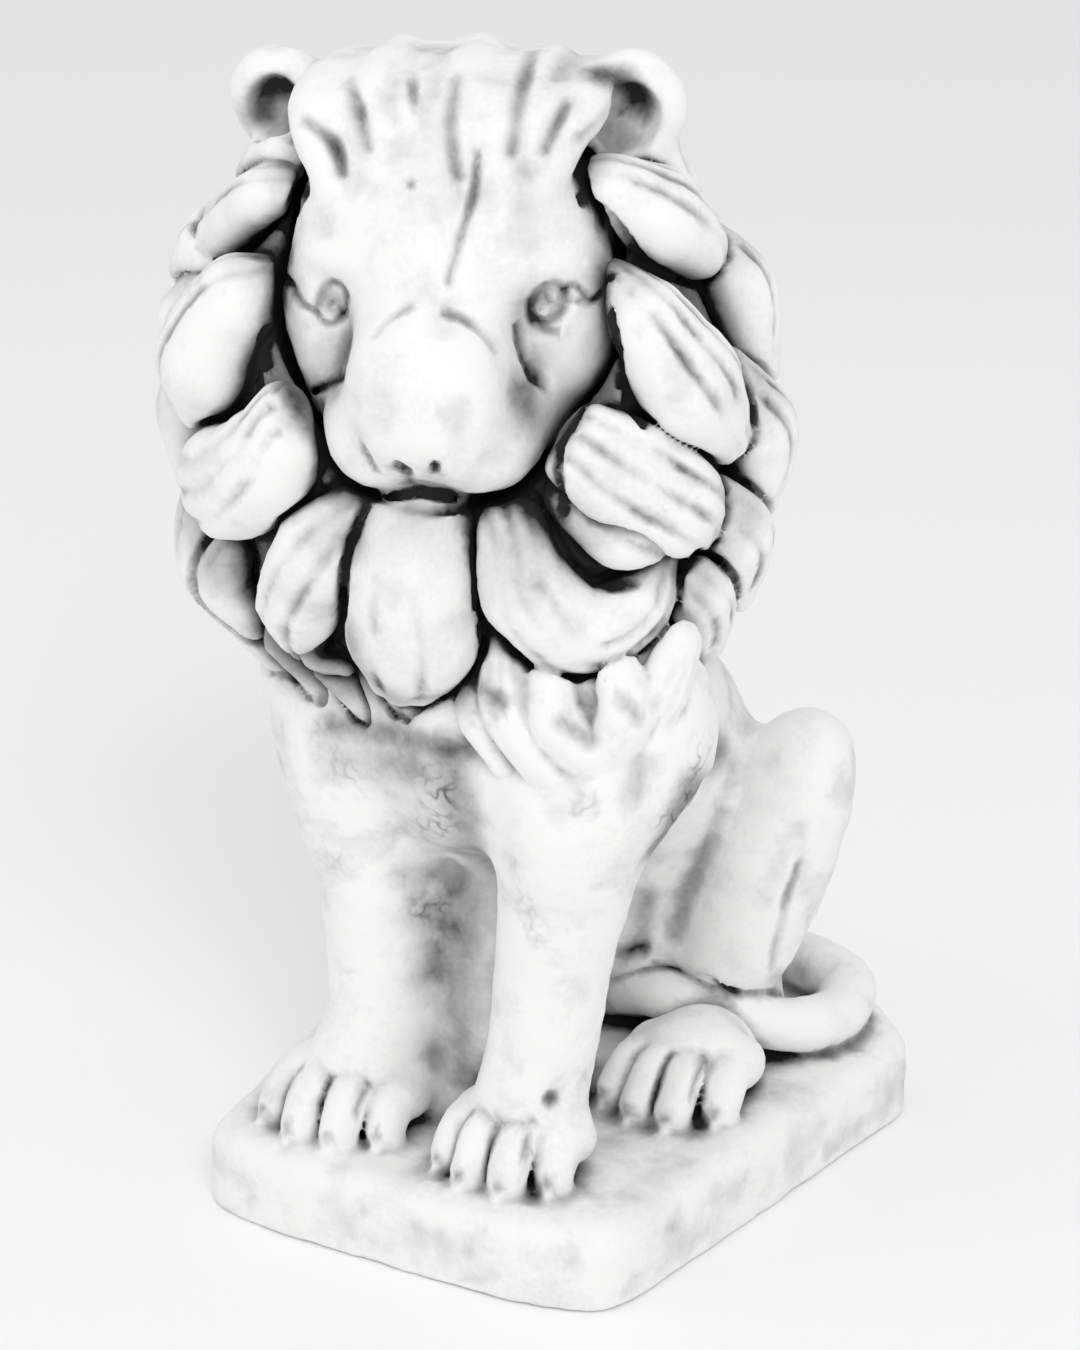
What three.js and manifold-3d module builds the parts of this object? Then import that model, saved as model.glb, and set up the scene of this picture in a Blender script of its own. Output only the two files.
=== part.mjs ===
// A seated lion, cast in one piece with its plinth, as a garden ornament in pale cast stone.
// The lion faces -Y and turns its head to its own left (+X); +Z is up and the plinth stands on z = 0.
// All sizes are in millimetres.
//
// The figure is modelled the way a sculptor builds up clay: rounded masses are added to or carved out of
// one distance field, a closed skin is drawn round the result, and the skin is thinned to a light mesh.
// The plinth is an ordinary extruded slab, and the figure is joined to it.

import * as THREE from "three";
import Module from "manifold-3d";

// Driving dimensions of the plinth.
const plinth = {
  height: 38,
  length: 288,
  frontWidth: 200,
  rearWidth: 286,
  rightCut: { across: 19, along: 8 },
  leftCut: { across: 27, along: 15 },
  rearCut: { across: 54, along: 47 },
  edgeRadius: 5,
  edgeSteps: 2,
};

// Driving dimensions of the figure. Its pose and carving keep the proportions of a drawing that is
// DRAWING_HEIGHT tall; points below are on that drawing, with z measured from the top of the plinth.
const statueHeight = 509;
const figureHeight = statueHeight - plinth.height;
const DRAWING_HEIGHT = 471;
const drawingScale = figureHeight / DRAWING_HEIGHT;
const bedding = 8; // how far the figure's own solid reaches down into the plinth

// The tail leaves the rump, turns along the plinth's rear edge and comes forward round its corner.
const tailRearGap = 3;
const tailRadius = 15;
const tailRear = plinth.length / 2 / drawingScale - tailRearGap - tailRadius;

// Fineness of the skin, and the corners of the space that it is drawn in.
const cellSize = 4;
const figureTriangles = 9200;
const spaceMargin = 9;
const spaceLow = [-146, -186, -14];
const spaceHigh = [146, tailRear + tailRadius + spaceMargin, 476];

// How the skin is evened, and how far a facet may turn or narrow while it is thinned.
const eveningPasses = 3;
const eveningShare = 0.5;
const leastFacetTurn = 0.4;
const leastFacetShape = 0.08;

// The head's own axes: it turns to the lion's left and looks down a little.
const headOrigin = [-6, -62, 382];
const headTurn = THREE.MathUtils.degToRad(17.5);
const headNod = THREE.MathUtils.degToRad(12);

// The rounded body of hair that the locks lie on: deeper behind than in front, and turned with the head.
const mane = {
  centre: [-5, -64, 311],
  halfWidth: 125,
  front: 82,
  back: 98,
  halfHeight: 148,
  turn: THREE.MathUtils.degToRad(15),
  coreShare: 0.87,
};

const RIGHT = -1;
const LEFT = 1;

const wasm = await Module();
wasm.setup();

// Small vector helpers

function plus(a, b) {
  return [a[0] + b[0], a[1] + b[1], a[2] + b[2]];
}

function times(a, s) {
  return [a[0] * s, a[1] * s, a[2] * s];
}

function mix(a, b, t) {
  return a + (b - a) * t;
}

// A point of the head, given as side (lion's left), forward and up, on the drawing.
function onHead([side, forward, up]) {
  const level = forward * Math.cos(headNod) + up * Math.sin(headNod);
  const rise = up * Math.cos(headNod) - forward * Math.sin(headNod);
  return plus(headOrigin, [
    side * Math.cos(headTurn) + level * Math.sin(headTurn),
    side * Math.sin(headTurn) - level * Math.cos(headTurn),
    rise,
  ]);
}

// The directions of the head's three axes on the drawing.
const headAxes = [
  [1, 0, 0],
  [0, 1, 0],
  [0, 0, 1],
].map((axis) => plus(onHead(axis), times(headOrigin, -1)));

const plainAxes = [
  [1, 0, 0],
  [0, 1, 0],
  [0, 0, 1],
];

// A point of the mane's surface, from its turn (0 at the front, 90 at the lion's left) and rise.
function onMane([turn, rise], lift = 0) {
  const a = THREE.MathUtils.degToRad(turn);
  const b = THREE.MathUtils.degToRad(rise);
  const side = Math.sin(a) * Math.cos(b) * (mane.halfWidth + lift);
  const forward = Math.cos(a) * Math.cos(b) * ((Math.cos(a) > 0 ? mane.front : mane.back) + lift);
  return plus(mane.centre, [
    side * Math.cos(mane.turn) + forward * Math.sin(mane.turn),
    side * Math.sin(mane.turn) - forward * Math.cos(mane.turn),
    Math.sin(b) * (mane.halfHeight + lift),
  ]);
}

// Masses: each has a box that it lies in and a signed distance to its surface

function ball(centre, radii, axes = plainAxes) {
  const reach = Math.max(...radii);
  const distance = (x, y, z) => {
    const dx = x - centre[0];
    const dy = y - centre[1];
    const dz = z - centre[2];
    let near = 0;
    let steep = 0;
    for (let i = 0; i < 3; i++) {
      const along = dx * axes[i][0] + dy * axes[i][1] + dz * axes[i][2];
      near += (along / radii[i]) ** 2;
      steep += (along / radii[i] ** 2) ** 2;
    }
    near = Math.sqrt(near);
    return (near * (near - 1)) / Math.max(Math.sqrt(steep), 1e-9);
  };
  return { distance, low: centre.map((c) => c - reach), high: centre.map((c) => c + reach) };
}

// The body of hair: half of one ellipsoid in front and half of a deeper one behind.
function maneBody(coreShare) {
  const { halfWidth, front, back, halfHeight, turn } = mane;
  const sideways = [Math.cos(turn), Math.sin(turn), 0];
  const ahead = [Math.sin(turn), -Math.cos(turn), 0];
  const halves = [front, back].map((depth) =>
    ball(mane.centre, times([halfWidth, depth, halfHeight], coreShare), [sideways, ahead, [0, 0, 1]]),
  );
  const distance = (x, y, z) => {
    const isAhead = dot([x, y, z], ahead) > dot(mane.centre, ahead);
    return halves[isAhead ? 0 : 1].distance(x, y, z);
  };
  return { distance, low: halves[0].low, high: halves[0].high };
}

function headBall(centre, radii) {
  return ball(onHead(centre), radii, headAxes);
}

// A swept limb of round section: its spine passes through the points and its radius follows the list.
// With a flatness under 1 it is thinner along the direction away from flatFrom.
function limb(points, radii, { flatness = 1, flatFrom = null, steps = 4 } = {}) {
  const spine = new THREE.CatmullRomCurve3(points.map((p) => new THREE.Vector3(...p)), false, "centripetal");
  const spans = (points.length - 1) * steps;
  const joints = [];
  for (let i = 0; i <= spans; i++) {
    const along = (i / spans) * (points.length - 1);
    const before = Math.min(Math.floor(along), points.length - 2);
    joints.push({
      at: spine.getPoint(i / spans),
      radius: mix(radii[before], radii[before + 1], along - before),
    });
  }
  const pieces = joints.slice(1).map((end, i) => limbPiece(joints[i], end, flatness, flatFrom));
  const reach = Math.max(...radii);
  const box = new THREE.Box3().setFromPoints(joints.map((j) => j.at)).expandByScalar(reach);
  return {
    distance: (x, y, z) => {
      let least = Infinity;
      for (const piece of pieces) least = Math.min(least, piece(x, y, z));
      return least;
    },
    low: box.min.toArray(),
    high: box.max.toArray(),
  };
}

// The signed distance to one short span of a limb.
function limbPiece(start, end, flatness, flatFrom) {
  const a = start.at;
  const way = end.at.clone().sub(a);
  const lengthSquared = way.lengthSq();
  const outward = flatFrom ? a.clone().add(end.at).multiplyScalar(0.5).sub(new THREE.Vector3(...flatFrom)) : null;
  if (outward) outward.addScaledVector(way, -outward.dot(way) / lengthSquared).normalize();
  return (x, y, z) => {
    const dx = x - a.x;
    const dy = y - a.y;
    const dz = z - a.z;
    const t = Math.min(1, Math.max(0, (dx * way.x + dy * way.y + dz * way.z) / lengthSquared));
    const radius = mix(start.radius, end.radius, t);
    const ox = dx - way.x * t;
    const oy = dy - way.y * t;
    const oz = dz - way.z * t;
    const across = Math.sqrt(ox * ox + oy * oy + oz * oz);
    if (!outward) return across - radius;
    const out = ox * outward.x + oy * outward.y + oz * outward.z;
    const side = Math.max(across * across - out * out, 0);
    const thin = radius * flatness;
    const near = Math.sqrt(side / radius ** 2 + (out / thin) ** 2);
    const steep = Math.sqrt(side / radius ** 4 + (out / thin ** 2) ** 2);
    return (near * (near - 1)) / Math.max(steep, 1e-9);
  };
}

function headLimb(points, radii) {
  return limb(points.map(onHead), radii);
}

// A lock of hair: a flattened drop that follows its path over the mane. Each place on the path is its
// turn and rise on the mane and the lock's half width there.
function lock(path, { lift = -8, flatness = 0.85 } = {}) {
  const points = path.map((place) => onMane(place, lift));
  const radii = path.map((place) => place[2]);
  return limb(points, radii, { flatness, flatFrom: mane.centre });
}

// The clay: a grid of signed distances that masses are blended into or carved from

class Clay {
  constructor(low, high, cell) {
    this.low = low;
    this.cell = cell;
    this.count = low.map((l, i) => Math.ceil((high[i] - l) / cell) + 1);
    this.values = new Float32Array(this.count[0] * this.count[1] * this.count[2]).fill(cell * 8);
  }

  eachCell(mass, margin, change) {
    const [nx, ny] = this.count;
    const first = mass.low.map((v, i) => Math.max(0, Math.floor((v - margin - this.low[i]) / this.cell)));
    const last = mass.high.map((v, i) =>
      Math.min(this.count[i] - 1, Math.ceil((v + margin - this.low[i]) / this.cell)),
    );
    for (let k = first[2]; k <= last[2]; k++)
      for (let j = first[1]; j <= last[1]; j++)
        for (let i = first[0]; i <= last[0]; i++) {
          const at = i + nx * (j + ny * k);
          const d = mass.distance(
            this.low[0] + i * this.cell,
            this.low[1] + j * this.cell,
            this.low[2] + k * this.cell,
          );
          this.values[at] = change(this.values[at], d);
        }
  }

  // Adds a mass; blend is how widely the crease between old and new is filled.
  add(mass, blend) {
    this.eachCell(mass, blend + 2 * this.cell, (old, d) => softLeast(old, d, blend));
  }

  // Carves a mass away, with an edge rounded by blend.
  carve(mass, blend) {
    this.eachCell(mass, blend + 2 * this.cell, (old, d) => -softLeast(-old, d, blend));
  }
}

function softLeast(a, b, blend) {
  const h = Math.max(blend - Math.abs(a - b), 0) / blend;
  return Math.min(a, b) - (h * h * blend) / 4;
}

// The lion's parts, on the drawing

function modelTorso(clay) {
  clay.add(
    limb(
      [
        [4, -50, 190],
        [2, 0, 168],
        [0, 50, 122],
        [0, 74, 68],
      ],
      [70, 68, 68, 58],
    ),
    12,
  );
  clay.add(ball([0, 74, 52], [70, 58, 60]), 16);
  clay.add(ball([2, -38, 60], [34, 44, 112]), 18);
}

// One hind leg: knee high beside the belly, shank down to the ankle, thigh back to the rump.
function modelHindLeg(clay, side) {
  const mirror = ([x, y, z]) => [x * side, y, z];
  clay.add(
    limb(
      [
        [92, 55, 138],
        [70, 68, 110],
        [46, 80, 74],
      ].map(mirror),
      [24, 34, 40],
    ),
    16,
  );
  clay.add(
    limb(
      [
        [98, 53, 149],
        [92, 50, 127],
        [82, 48, 98],
        [72, 46, 66],
        [64, 46, 44],
        [64, 52, 18],
      ].map(mirror),
      [19, 26, 30, 28, 25, 23],
    ),
    8,
  );
  const foot = limb(
    [
      [62, 56, 14],
      [68, 26, 16],
      [71, -4, 15],
    ].map(mirror),
    [20, 22, 23],
  );
  clay.add(foot, 8);
  const hindToes = [
    { root: [54, 2, 15], tip: [48, -27, 6] },
    { root: [65, -4, 17], tip: [62, -35, 6] },
    { root: [76, -2, 17], tip: [77, -34, 6] },
    { root: [87, 6, 15], tip: [91, -20, 6] },
  ];
  for (const toe of hindToes) modelToe(clay, mirror(toe.root), mirror(toe.tip));
}

// A toe arches from its root over the knuckle to a rounded tip on the plinth.
function modelToe(clay, root, tip) {
  const knuckle = [mix(root[0], tip[0], 0.6), mix(root[1], tip[1], 0.6), root[2] + 1];
  clay.add(limb([root, knuckle, tip], [8, 9, 7.5]), 2.5);
}

// Spines and radii of the two front legs, from the shoulder down to the wrist.
const frontLegs = [
  {
    spine: [
      [-56, -64, 196],
      [-50, -74, 160],
      [-42, -79, 120],
      [-39, -81, 84],
      [-40, -84, 50],
      [-46, -90, 20],
    ],
    radii: [46, 38, 29, 25.5, 24, 25],
    toes: [
      { root: [-68, -92, 15], tip: [-75, -113, 6] },
      { root: [-57, -98, 18], tip: [-61, -122, 6] },
      { root: [-44, -98, 18], tip: [-45, -120, 6] },
      { root: [-33, -92, 15], tip: [-31, -109, 6] },
    ],
  },
  {
    spine: [
      [64, -72, 196],
      [59, -88, 165],
      [54, -89, 130],
      [48, -88, 92],
      [43, -89, 52],
      [38, -93, 20],
    ],
    radii: [46, 36, 28, 24.5, 23.5, 25],
    toes: [
      { root: [19, -92, 15], tip: [14, -112, 6] },
      { root: [31, -98, 18], tip: [28, -121, 6] },
      { root: [44, -98, 18], tip: [44, -121, 6] },
      { root: [55, -92, 15], tip: [58, -109, 6] },
    ],
  },
];

function modelFrontLeg(clay, { spine, radii, toes }) {
  clay.add(limb(spine, radii), 12);
  for (const toe of toes) modelToe(clay, toe.root, toe.tip);
}

function modelTail(clay) {
  const spine = [
    [-6, tailRear - 12, 44],
    [16, tailRear, 17],
    [62, tailRear - 2, 12],
    [96, tailRear - 20, 12],
    [104, tailRear - 52, 12],
    [88, 48, 17],
    [62, 36, 27],
    [38, 32, 26],
    [20, 28, 16],
  ];
  clay.add(limb(spine, [17, tailRadius, 14, 13, 13, 12, 12, 11, 9]), 3);
}

function modelManeCore(clay) {
  clay.add(maneBody(mane.coreShare), 14);
  clay.add(headBall([0, -12, 26], [70, 62, 50]), 12);
  clay.add(ball([12, -66, 226], [88, 52, 46]), 12);
}

// The hollow in the hair that the face is set in.
function modelFaceHollow(clay) {
  clay.carve(headBall([0, 100, 12], [88, 98, 84]), 5);
}

// Locks along the mane's two edges, which stand out of it further than the rest, each from its root.
const edgeLockLift = -5;
const edgeLocks = [
  [[-37, 52, 6], [-70, 53, 14], [-86, 43, 14]],
  [[-41, 49, 5], [-60, 43, 12], [-84, 34, 16]],
  [[-82, 25, 9], [-80, 17, 15], [-78, 8, 12]],
  [[-56, -20, 9], [-68, -28, 13], [-67, -36, 10]],
  [[57, 56, 7], [98, 57, 17], [106, 45, 13]],
  [[100, 35, 12], [102, 25, 17], [100, 12, 14]],
  [[78, 14, 11], [91, 3, 17], [94, -9, 15]],
  [[66, -5, 11], [82, -14, 15], [91, -25, 16]],
  [[55, -15, 9], [69, -23, 13], [86, -34, 16]],
];

// Locks seen from the front, in the order that they overlap, each from its root to its tip.
const frontLocks = [
  [[-47, 30, 8], [-58, 23, 18], [-64, 14, 20], [-64, 7, 16]],
  [[-27, 12, 7], [-28, 4, 12], [-38, -5, 21], [-57, -5, 18]],
  [[-12, -7, 8], [-21, -14, 15], [-31, -25, 15], [-39, -37, 9]],
  [[-29, -30, 5], [-36, -39, 5], [-27, -41, 5]],
  [[48, 34, 8], [52, 25, 17], [61, 14, 21], [73, 5, 14]],
  [[51, 53, 5], [67, 46, 13], [86, 37, 15]],
  [[29, 10, 8], [37, 3, 17], [52, -2, 18]],
  [[31, -3, 10], [41, -9, 13], [56, -13, 11]],
  [[18, -9, 14], [22, -19, 18], [35, -27, 18], [48, -23, 15], [54, -16, 9]],
  [[0, -7, 19], [-2, -17, 22], [-3, -27, 25], [-7, -36, 19]],
];

// The plainer locks behind: rows of drops that overlap like tiles.
const backRows = [
  { rise: 68, first: 128, step: 34, locks: 5 },
  { rise: 42, first: 126, step: 25, locks: 7 },
  { rise: 14, first: 122, step: 25, locks: 7 },
  { rise: -12, first: 114, step: 24.5, locks: 8 },
];
const backLockWidth = 22;
const backLockDrop = 32;
const backLockSweep = 7;

// How widely the crease between one lock and the next is filled.
const lockBlend = 3.5;

// Small curls along the mane's lower edge, all the way round.
const hem = { rise: -40, drop: 15, first: -62, step: 24.5, locks: 14, width: 12 };

// Curls that hang from the mane over the chest, on the drawing.
const chestCurls = [
  { spine: [[38, -112, 238], [46, -119, 214], [60, -117, 192]], width: 12 },
  { spine: [[60, -112, 232], [68, -116, 212], [80, -112, 197]], width: 11 },
  { spine: [[84, -102, 236], [88, -106, 218], [84, -107, 199]], width: 11 },
  { spine: [[104, -84, 244], [99, -90, 224], [90, -96, 203]], width: 11 },
];

function modelLocks(clay) {
  for (const { rise, first, step, locks } of backRows)
    for (let i = 0; i < locks; i++) {
      const turn = first + i * step;
      const sweep = turn > 180 ? -backLockSweep : backLockSweep;
      const path = [
        [turn, rise, backLockWidth * 0.6],
        [turn + sweep, rise - backLockDrop * 0.45, backLockWidth],
        [turn + sweep * 0.4, rise - backLockDrop, backLockWidth * 0.7],
      ];
      clay.add(lock(path), lockBlend);
    }
  for (let i = 0; i < hem.locks; i++) {
    const turn = hem.first + i * hem.step;
    const path = [
      [turn, hem.rise, hem.width * 0.8],
      [turn + 4, hem.rise - hem.drop, hem.width * 0.6],
    ];
    clay.add(lock(path), lockBlend);
  }
  for (const { spine, width } of chestCurls) {
    clay.add(limb(spine, [width * 0.8, width, width * 0.5]), lockBlend);
  }
  for (const path of edgeLocks) clay.add(lock(path, { lift: edgeLockLift }), lockBlend);
  for (const path of frontLocks) clay.add(lock(path), lockBlend);
}

// Tufts that run from the hairline back over the crown, by their side position on the head.
const crownTufts = [-52, -28, 6, 31, 50];

function modelCrown(clay) {
  for (const side of crownTufts) {
    const spread = 1 + 0.1 * Math.sign(side);
    const drop = (side / 75) ** 2 * 15;
    const spine = [
      [side * 0.82, 42, 58 - drop * 1.4],
      [side, 22, 76 - drop],
      [side * spread, -14, 75 - drop],
      [side * spread, -48, 54 - drop],
    ];
    clay.add(headLimb(spine, [7, 11, 13, 12]), 3.5);
  }
}

// The ears' side positions and heights on the head.
const ears = [
  { side: -75, up: 59 },
  { side: 67, up: 62 },
];

function modelEar(clay, { side, up }) {
  clay.add(headBall([side, -12, up], [22, 13, 23]), 4);
  clay.carve(headBall([side, 0, up], [12, 11, 13]), 3);
}

function modelFace(clay) {
  clay.add(headBall([0, 6, 12], [64, 58, 60]), 4);
  clay.add(headBall([0, 31, 26], [58, 34, 42]), 12);
  clay.add(headLimb([[0, 36, 22], [0, 47, 6], [0, 58, -10]], [33, 33, 32]), 10);
  for (const side of [RIGHT, LEFT]) {
    clay.add(headBall([46 * side, 33, -8], [21, 26, 37]), 6);
    clay.add(headBall([37 * side, 28, -34], [26, 30, 37]), 8);
    clay.add(headBall([30 * side, 49, 23], [22, 12, 9]), 8);
    clay.add(headBall([24 * side, 63, -42], [24, 26, 25]), 6);
    clay.add(headBall([19 * side, 79, -48], [20, 20, 15]), 6);
  }
  clay.add(headBall([2, 81, -17], [31, 28, 27]), 6);
  clay.add(headBall([2, 93, -31], [18, 14, 13]), 4);
  clay.add(headLimb([[0, 34, -46], [0, 66, -56]], [30, 22]), 6);
  clay.add(headBall([0, 76, -61], [28, 22, 15]), 3);
  clay.carve(headLimb([[-26, 84, -64], [-10, 102, -56], [13, 102, -56], [31, 82, -63]], [2, 4, 4, 2]), 2);
  for (const side of [RIGHT, LEFT]) {
    clay.add(headBall([44 * side, 54, 4], [9, 8, 7]), 1.5);
  }
}

// Drawing the skin: each cell of the grid is split into six tetrahedra, and each tetrahedron that the
// surface crosses gives one or two triangles, so the skin is closed wherever it goes

const CORNERS = [0, 1, 2, 3, 4, 5, 6, 7].map((c) => [c & 1, (c >> 1) & 1, (c >> 2) & 1]);
const TETRAHEDRA = [
  [0, 1, 3, 7],
  [0, 3, 2, 7],
  [0, 2, 6, 7],
  [0, 6, 4, 7],
  [0, 4, 5, 7],
  [0, 5, 1, 7],
];

function skinOf(clay) {
  const [nx, ny, nz] = clay.count;
  const offset = CORNERS.map(([i, j, k]) => i + nx * (j + ny * k));
  const points = [];
  const faces = [];
  const known = new Map();

  // The point where the surface crosses the line between two grid corners.
  const crossing = (a, b) => {
    const low = Math.min(a, b);
    const high = Math.max(a, b);
    const key = low * 8 + offset.indexOf(high - low);
    if (known.has(key)) return known.get(key);
    const t = THREE.MathUtils.clamp(clay.values[low] / (clay.values[low] - clay.values[high]), 0.05, 0.95);
    const index = points.length / 3;
    for (const [axis, stride, count] of [[0, 1, nx], [1, nx, ny], [2, nx * ny, nz]]) {
      const from = Math.floor(low / stride) % count;
      const to = Math.floor(high / stride) % count;
      points.push(clay.low[axis] + mix(from, to, t) * clay.cell);
    }
    known.set(key, index);
    return index;
  };

  for (let k = 0; k < nz - 1; k++)
    for (let j = 0; j < ny - 1; j++)
      for (let i = 0; i < nx - 1; i++) {
        const at = offset.map((o) => o + i + nx * (j + ny * k));
        const insideCount = at.filter((c) => clay.values[c] < 0).length;
        if (insideCount === 0 || insideCount === 8) continue;
        for (const tetrahedron of TETRAHEDRA) {
          cutTetrahedron(tetrahedron.map((c) => at[c]), clay.values, crossing, faces);
        }
      }
  return { points, faces };
}

function cutTetrahedron(corners, values, crossing, faces) {
  const inside = corners.filter((c) => values[c] < 0);
  const outside = corners.filter((c) => values[c] >= 0);
  if (inside.length === 0 || outside.length === 0) return;
  const flip = evenOrder([...inside, ...outside], corners);
  if (inside.length === 1) {
    const [a, b, c] = outside.map((o) => crossing(inside[0], o));
    faces.push(...(flip ? [a, b, c] : [a, c, b]));
    return;
  }
  if (inside.length === 3) {
    const [a, b, c] = inside.map((i) => crossing(i, outside[0]));
    faces.push(...(flip ? [a, b, c] : [a, c, b]));
    return;
  }
  const [p, q] = inside;
  const [r, s] = outside;
  const ring = [crossing(p, r), crossing(p, s), crossing(q, s), crossing(q, r)];
  if (!flip) ring.reverse();
  faces.push(ring[0], ring[1], ring[2], ring[0], ring[2], ring[3]);
}

// Whether an order of four corners is an even number of swaps from the standard one.
function evenOrder(order, standard) {
  const places = order.map((c) => standard.indexOf(c));
  let swaps = 0;
  for (let i = 0; i < 4; i++) for (let j = i + 1; j < 4; j++) if (places[i] > places[j]) swaps++;
  return swaps % 2 === 0;
}

// The points that share an edge with each point.
function neighboursOf({ points, faces }) {
  const near = Array.from({ length: points.length / 3 }, () => new Set());
  for (let f = 0; f < faces.length; f += 3)
    for (let i = 0; i < 3; i++) {
      const a = faces[f + i];
      const b = faces[f + ((i + 1) % 3)];
      near[a].add(b);
      near[b].add(a);
    }
  return near;
}

// Keeps the outer skin only: a pocket that a trench left closed inside the clay is filled.
function outerSkin(skin) {
  const near = neighboursOf(skin);
  const piece = new Int32Array(near.length).fill(-1);
  const sizes = [];
  for (let start = 0; start < near.length; start++) {
    if (piece[start] >= 0) continue;
    const waiting = [start];
    piece[start] = sizes.length;
    sizes.push(0);
    while (waiting.length) {
      const v = waiting.pop();
      sizes[piece[v]]++;
      for (const w of near[v])
        if (piece[w] < 0) {
          piece[w] = piece[v];
          waiting.push(w);
        }
    }
  }
  const outer = sizes.indexOf(Math.max(...sizes));
  const faces = [];
  for (let f = 0; f < skin.faces.length; f += 3)
    if (piece[skin.faces[f]] === outer) faces.push(...skin.faces.slice(f, f + 3));
  return { points: skin.points, faces };
}

// Evens the skin: each point moves part of the way to the middle of its neighbours.
function evened({ points, faces }, passes, share) {
  const near = neighboursOf({ points, faces });
  let current = points;
  for (let pass = 0; pass < passes; pass++) {
    const moved = [...current];
    for (let v = 0; v < near.length; v++) {
      if (!near[v].size) continue;
      for (let i = 0; i < 3; i++) {
        let sum = 0;
        for (const w of near[v]) sum += current[3 * w + i];
        moved[3 * v + i] = mix(current[3 * v + i], sum / near[v].size, share);
      }
    }
    current = moved;
  }
  return { points: current, faces };
}

// Thinning the skin: the edge whose removal moves the surface least is drawn together, again and again

const QUADRIC = 10;

class Thinner {
  constructor({ points, faces }) {
    this.points = Float64Array.from(points);
    this.faces = Int32Array.from(faces);
    this.around = Array.from({ length: points.length / 3 }, () => new Set());
    this.quadrics = new Float64Array((points.length / 3) * QUADRIC);
    this.stamps = new Int32Array(points.length / 3);
    this.heap = [];
    this.live = faces.length / 3;
    for (let f = 0; f < this.live; f++) this.register(f);
    for (let v = 0; v < this.around.length; v++)
      for (const w of this.neighbours(v)) if (v < w) this.offer(v, w);
  }

  at(v) {
    return [this.points[3 * v], this.points[3 * v + 1], this.points[3 * v + 2]];
  }

  corners(f) {
    return [this.faces[3 * f], this.faces[3 * f + 1], this.faces[3 * f + 2]];
  }

  register(f) {
    const corners = this.corners(f);
    const { normal, area } = facing(...corners.map((v) => this.at(v)));
    const d = -dot(normal, this.at(corners[0]));
    const [a, b, c] = normal;
    const plane = [a * a, a * b, a * c, a * d, b * b, b * c, b * d, c * c, c * d, d * d];
    for (const v of corners) {
      this.around[v].add(f);
      for (let i = 0; i < QUADRIC; i++) this.quadrics[v * QUADRIC + i] += plane[i] * area;
    }
  }

  neighbours(v) {
    const found = new Set();
    for (const f of this.around[v]) for (const w of this.corners(f)) if (w !== v) found.add(w);
    return found;
  }

  // Puts an edge on the heap, with the place its two ends would be drawn to and what that costs.
  offer(v, w) {
    const q = [];
    for (let i = 0; i < QUADRIC; i++) q.push(this.quadrics[v * QUADRIC + i] + this.quadrics[w * QUADRIC + i]);
    const place = bestPlace(q, this.at(v), this.at(w));
    const entry = { cost: quadricCost(q, place), v, w, place, stamp: this.stamps[v] + this.stamps[w] };
    heapPush(this.heap, entry);
  }

  // Whether the edge can go without folding or pinching the skin.
  allowed(v, w, place) {
    const other = this.neighbours(w);
    let shared = 0;
    for (const n of this.neighbours(v)) if (other.has(n)) shared++;
    if (shared !== 2) return false;
    return this.keepsFacing(v, w, place) && this.keepsFacing(w, v, place);
  }

  keepsFacing(v, w, place) {
    for (const f of this.around[v]) {
      const corners = this.corners(f);
      if (corners.includes(w)) continue;
      const before = facing(...corners.map((c) => this.at(c)));
      const after = facing(...corners.map((c) => (c === v ? place : this.at(c))));
      if (dot(before.normal, after.normal) < leastFacetTurn || after.shape < leastFacetShape) return false;
    }
    return true;
  }

  collapse({ v, w, place }) {
    for (let i = 0; i < 3; i++) this.points[3 * v + i] = place[i];
    for (let i = 0; i < QUADRIC; i++) this.quadrics[v * QUADRIC + i] += this.quadrics[w * QUADRIC + i];
    for (const f of [...this.around[w]]) {
      const corners = this.corners(f);
      if (corners.includes(v)) {
        for (const c of corners) this.around[c].delete(f);
        this.live--;
        continue;
      }
      this.faces[3 * f + corners.indexOf(w)] = v;
      this.around[v].add(f);
    }
    this.around[w].clear();
    this.stamps[v] += 1;
    this.stamps[w] = -1e6;
    for (const n of this.neighbours(v)) this.offer(v, n);
  }

  thin(target) {
    while (this.live > target && this.heap.length) {
      const edge = heapPop(this.heap);
      if (edge.stamp !== this.stamps[edge.v] + this.stamps[edge.w]) continue;
      if (this.allowed(edge.v, edge.w, edge.place)) this.collapse(edge);
    }
    return this.result();
  }

  result() {
    const kept = new Map();
    const points = [];
    const faces = [];
    const liveFaces = new Set();
    for (const set of this.around) for (const f of set) liveFaces.add(f);
    for (const f of liveFaces)
      for (const v of this.corners(f)) {
        if (!kept.has(v)) {
          kept.set(v, points.length / 3);
          points.push(...this.at(v));
        }
        faces.push(kept.get(v));
      }
    return { points, faces };
  }
}

function dot(a, b) {
  return a[0] * b[0] + a[1] * b[1] + a[2] * b[2];
}

// A triangle's unit normal, its area, and a shape that is 1 for an even triangle and 0 for a sliver.
function facing(a, b, c) {
  const u = plus(b, times(a, -1));
  const v = plus(c, times(a, -1));
  const w = plus(c, times(b, -1));
  const n = [u[1] * v[2] - u[2] * v[1], u[2] * v[0] - u[0] * v[2], u[0] * v[1] - u[1] * v[0]];
  const size = Math.sqrt(dot(n, n));
  const shape = (2 * Math.sqrt(3) * size) / Math.max(dot(u, u) + dot(v, v) + dot(w, w), 1e-12);
  return { normal: times(n, 1 / Math.max(size, 1e-12)), area: size / 2, shape };
}

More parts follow.
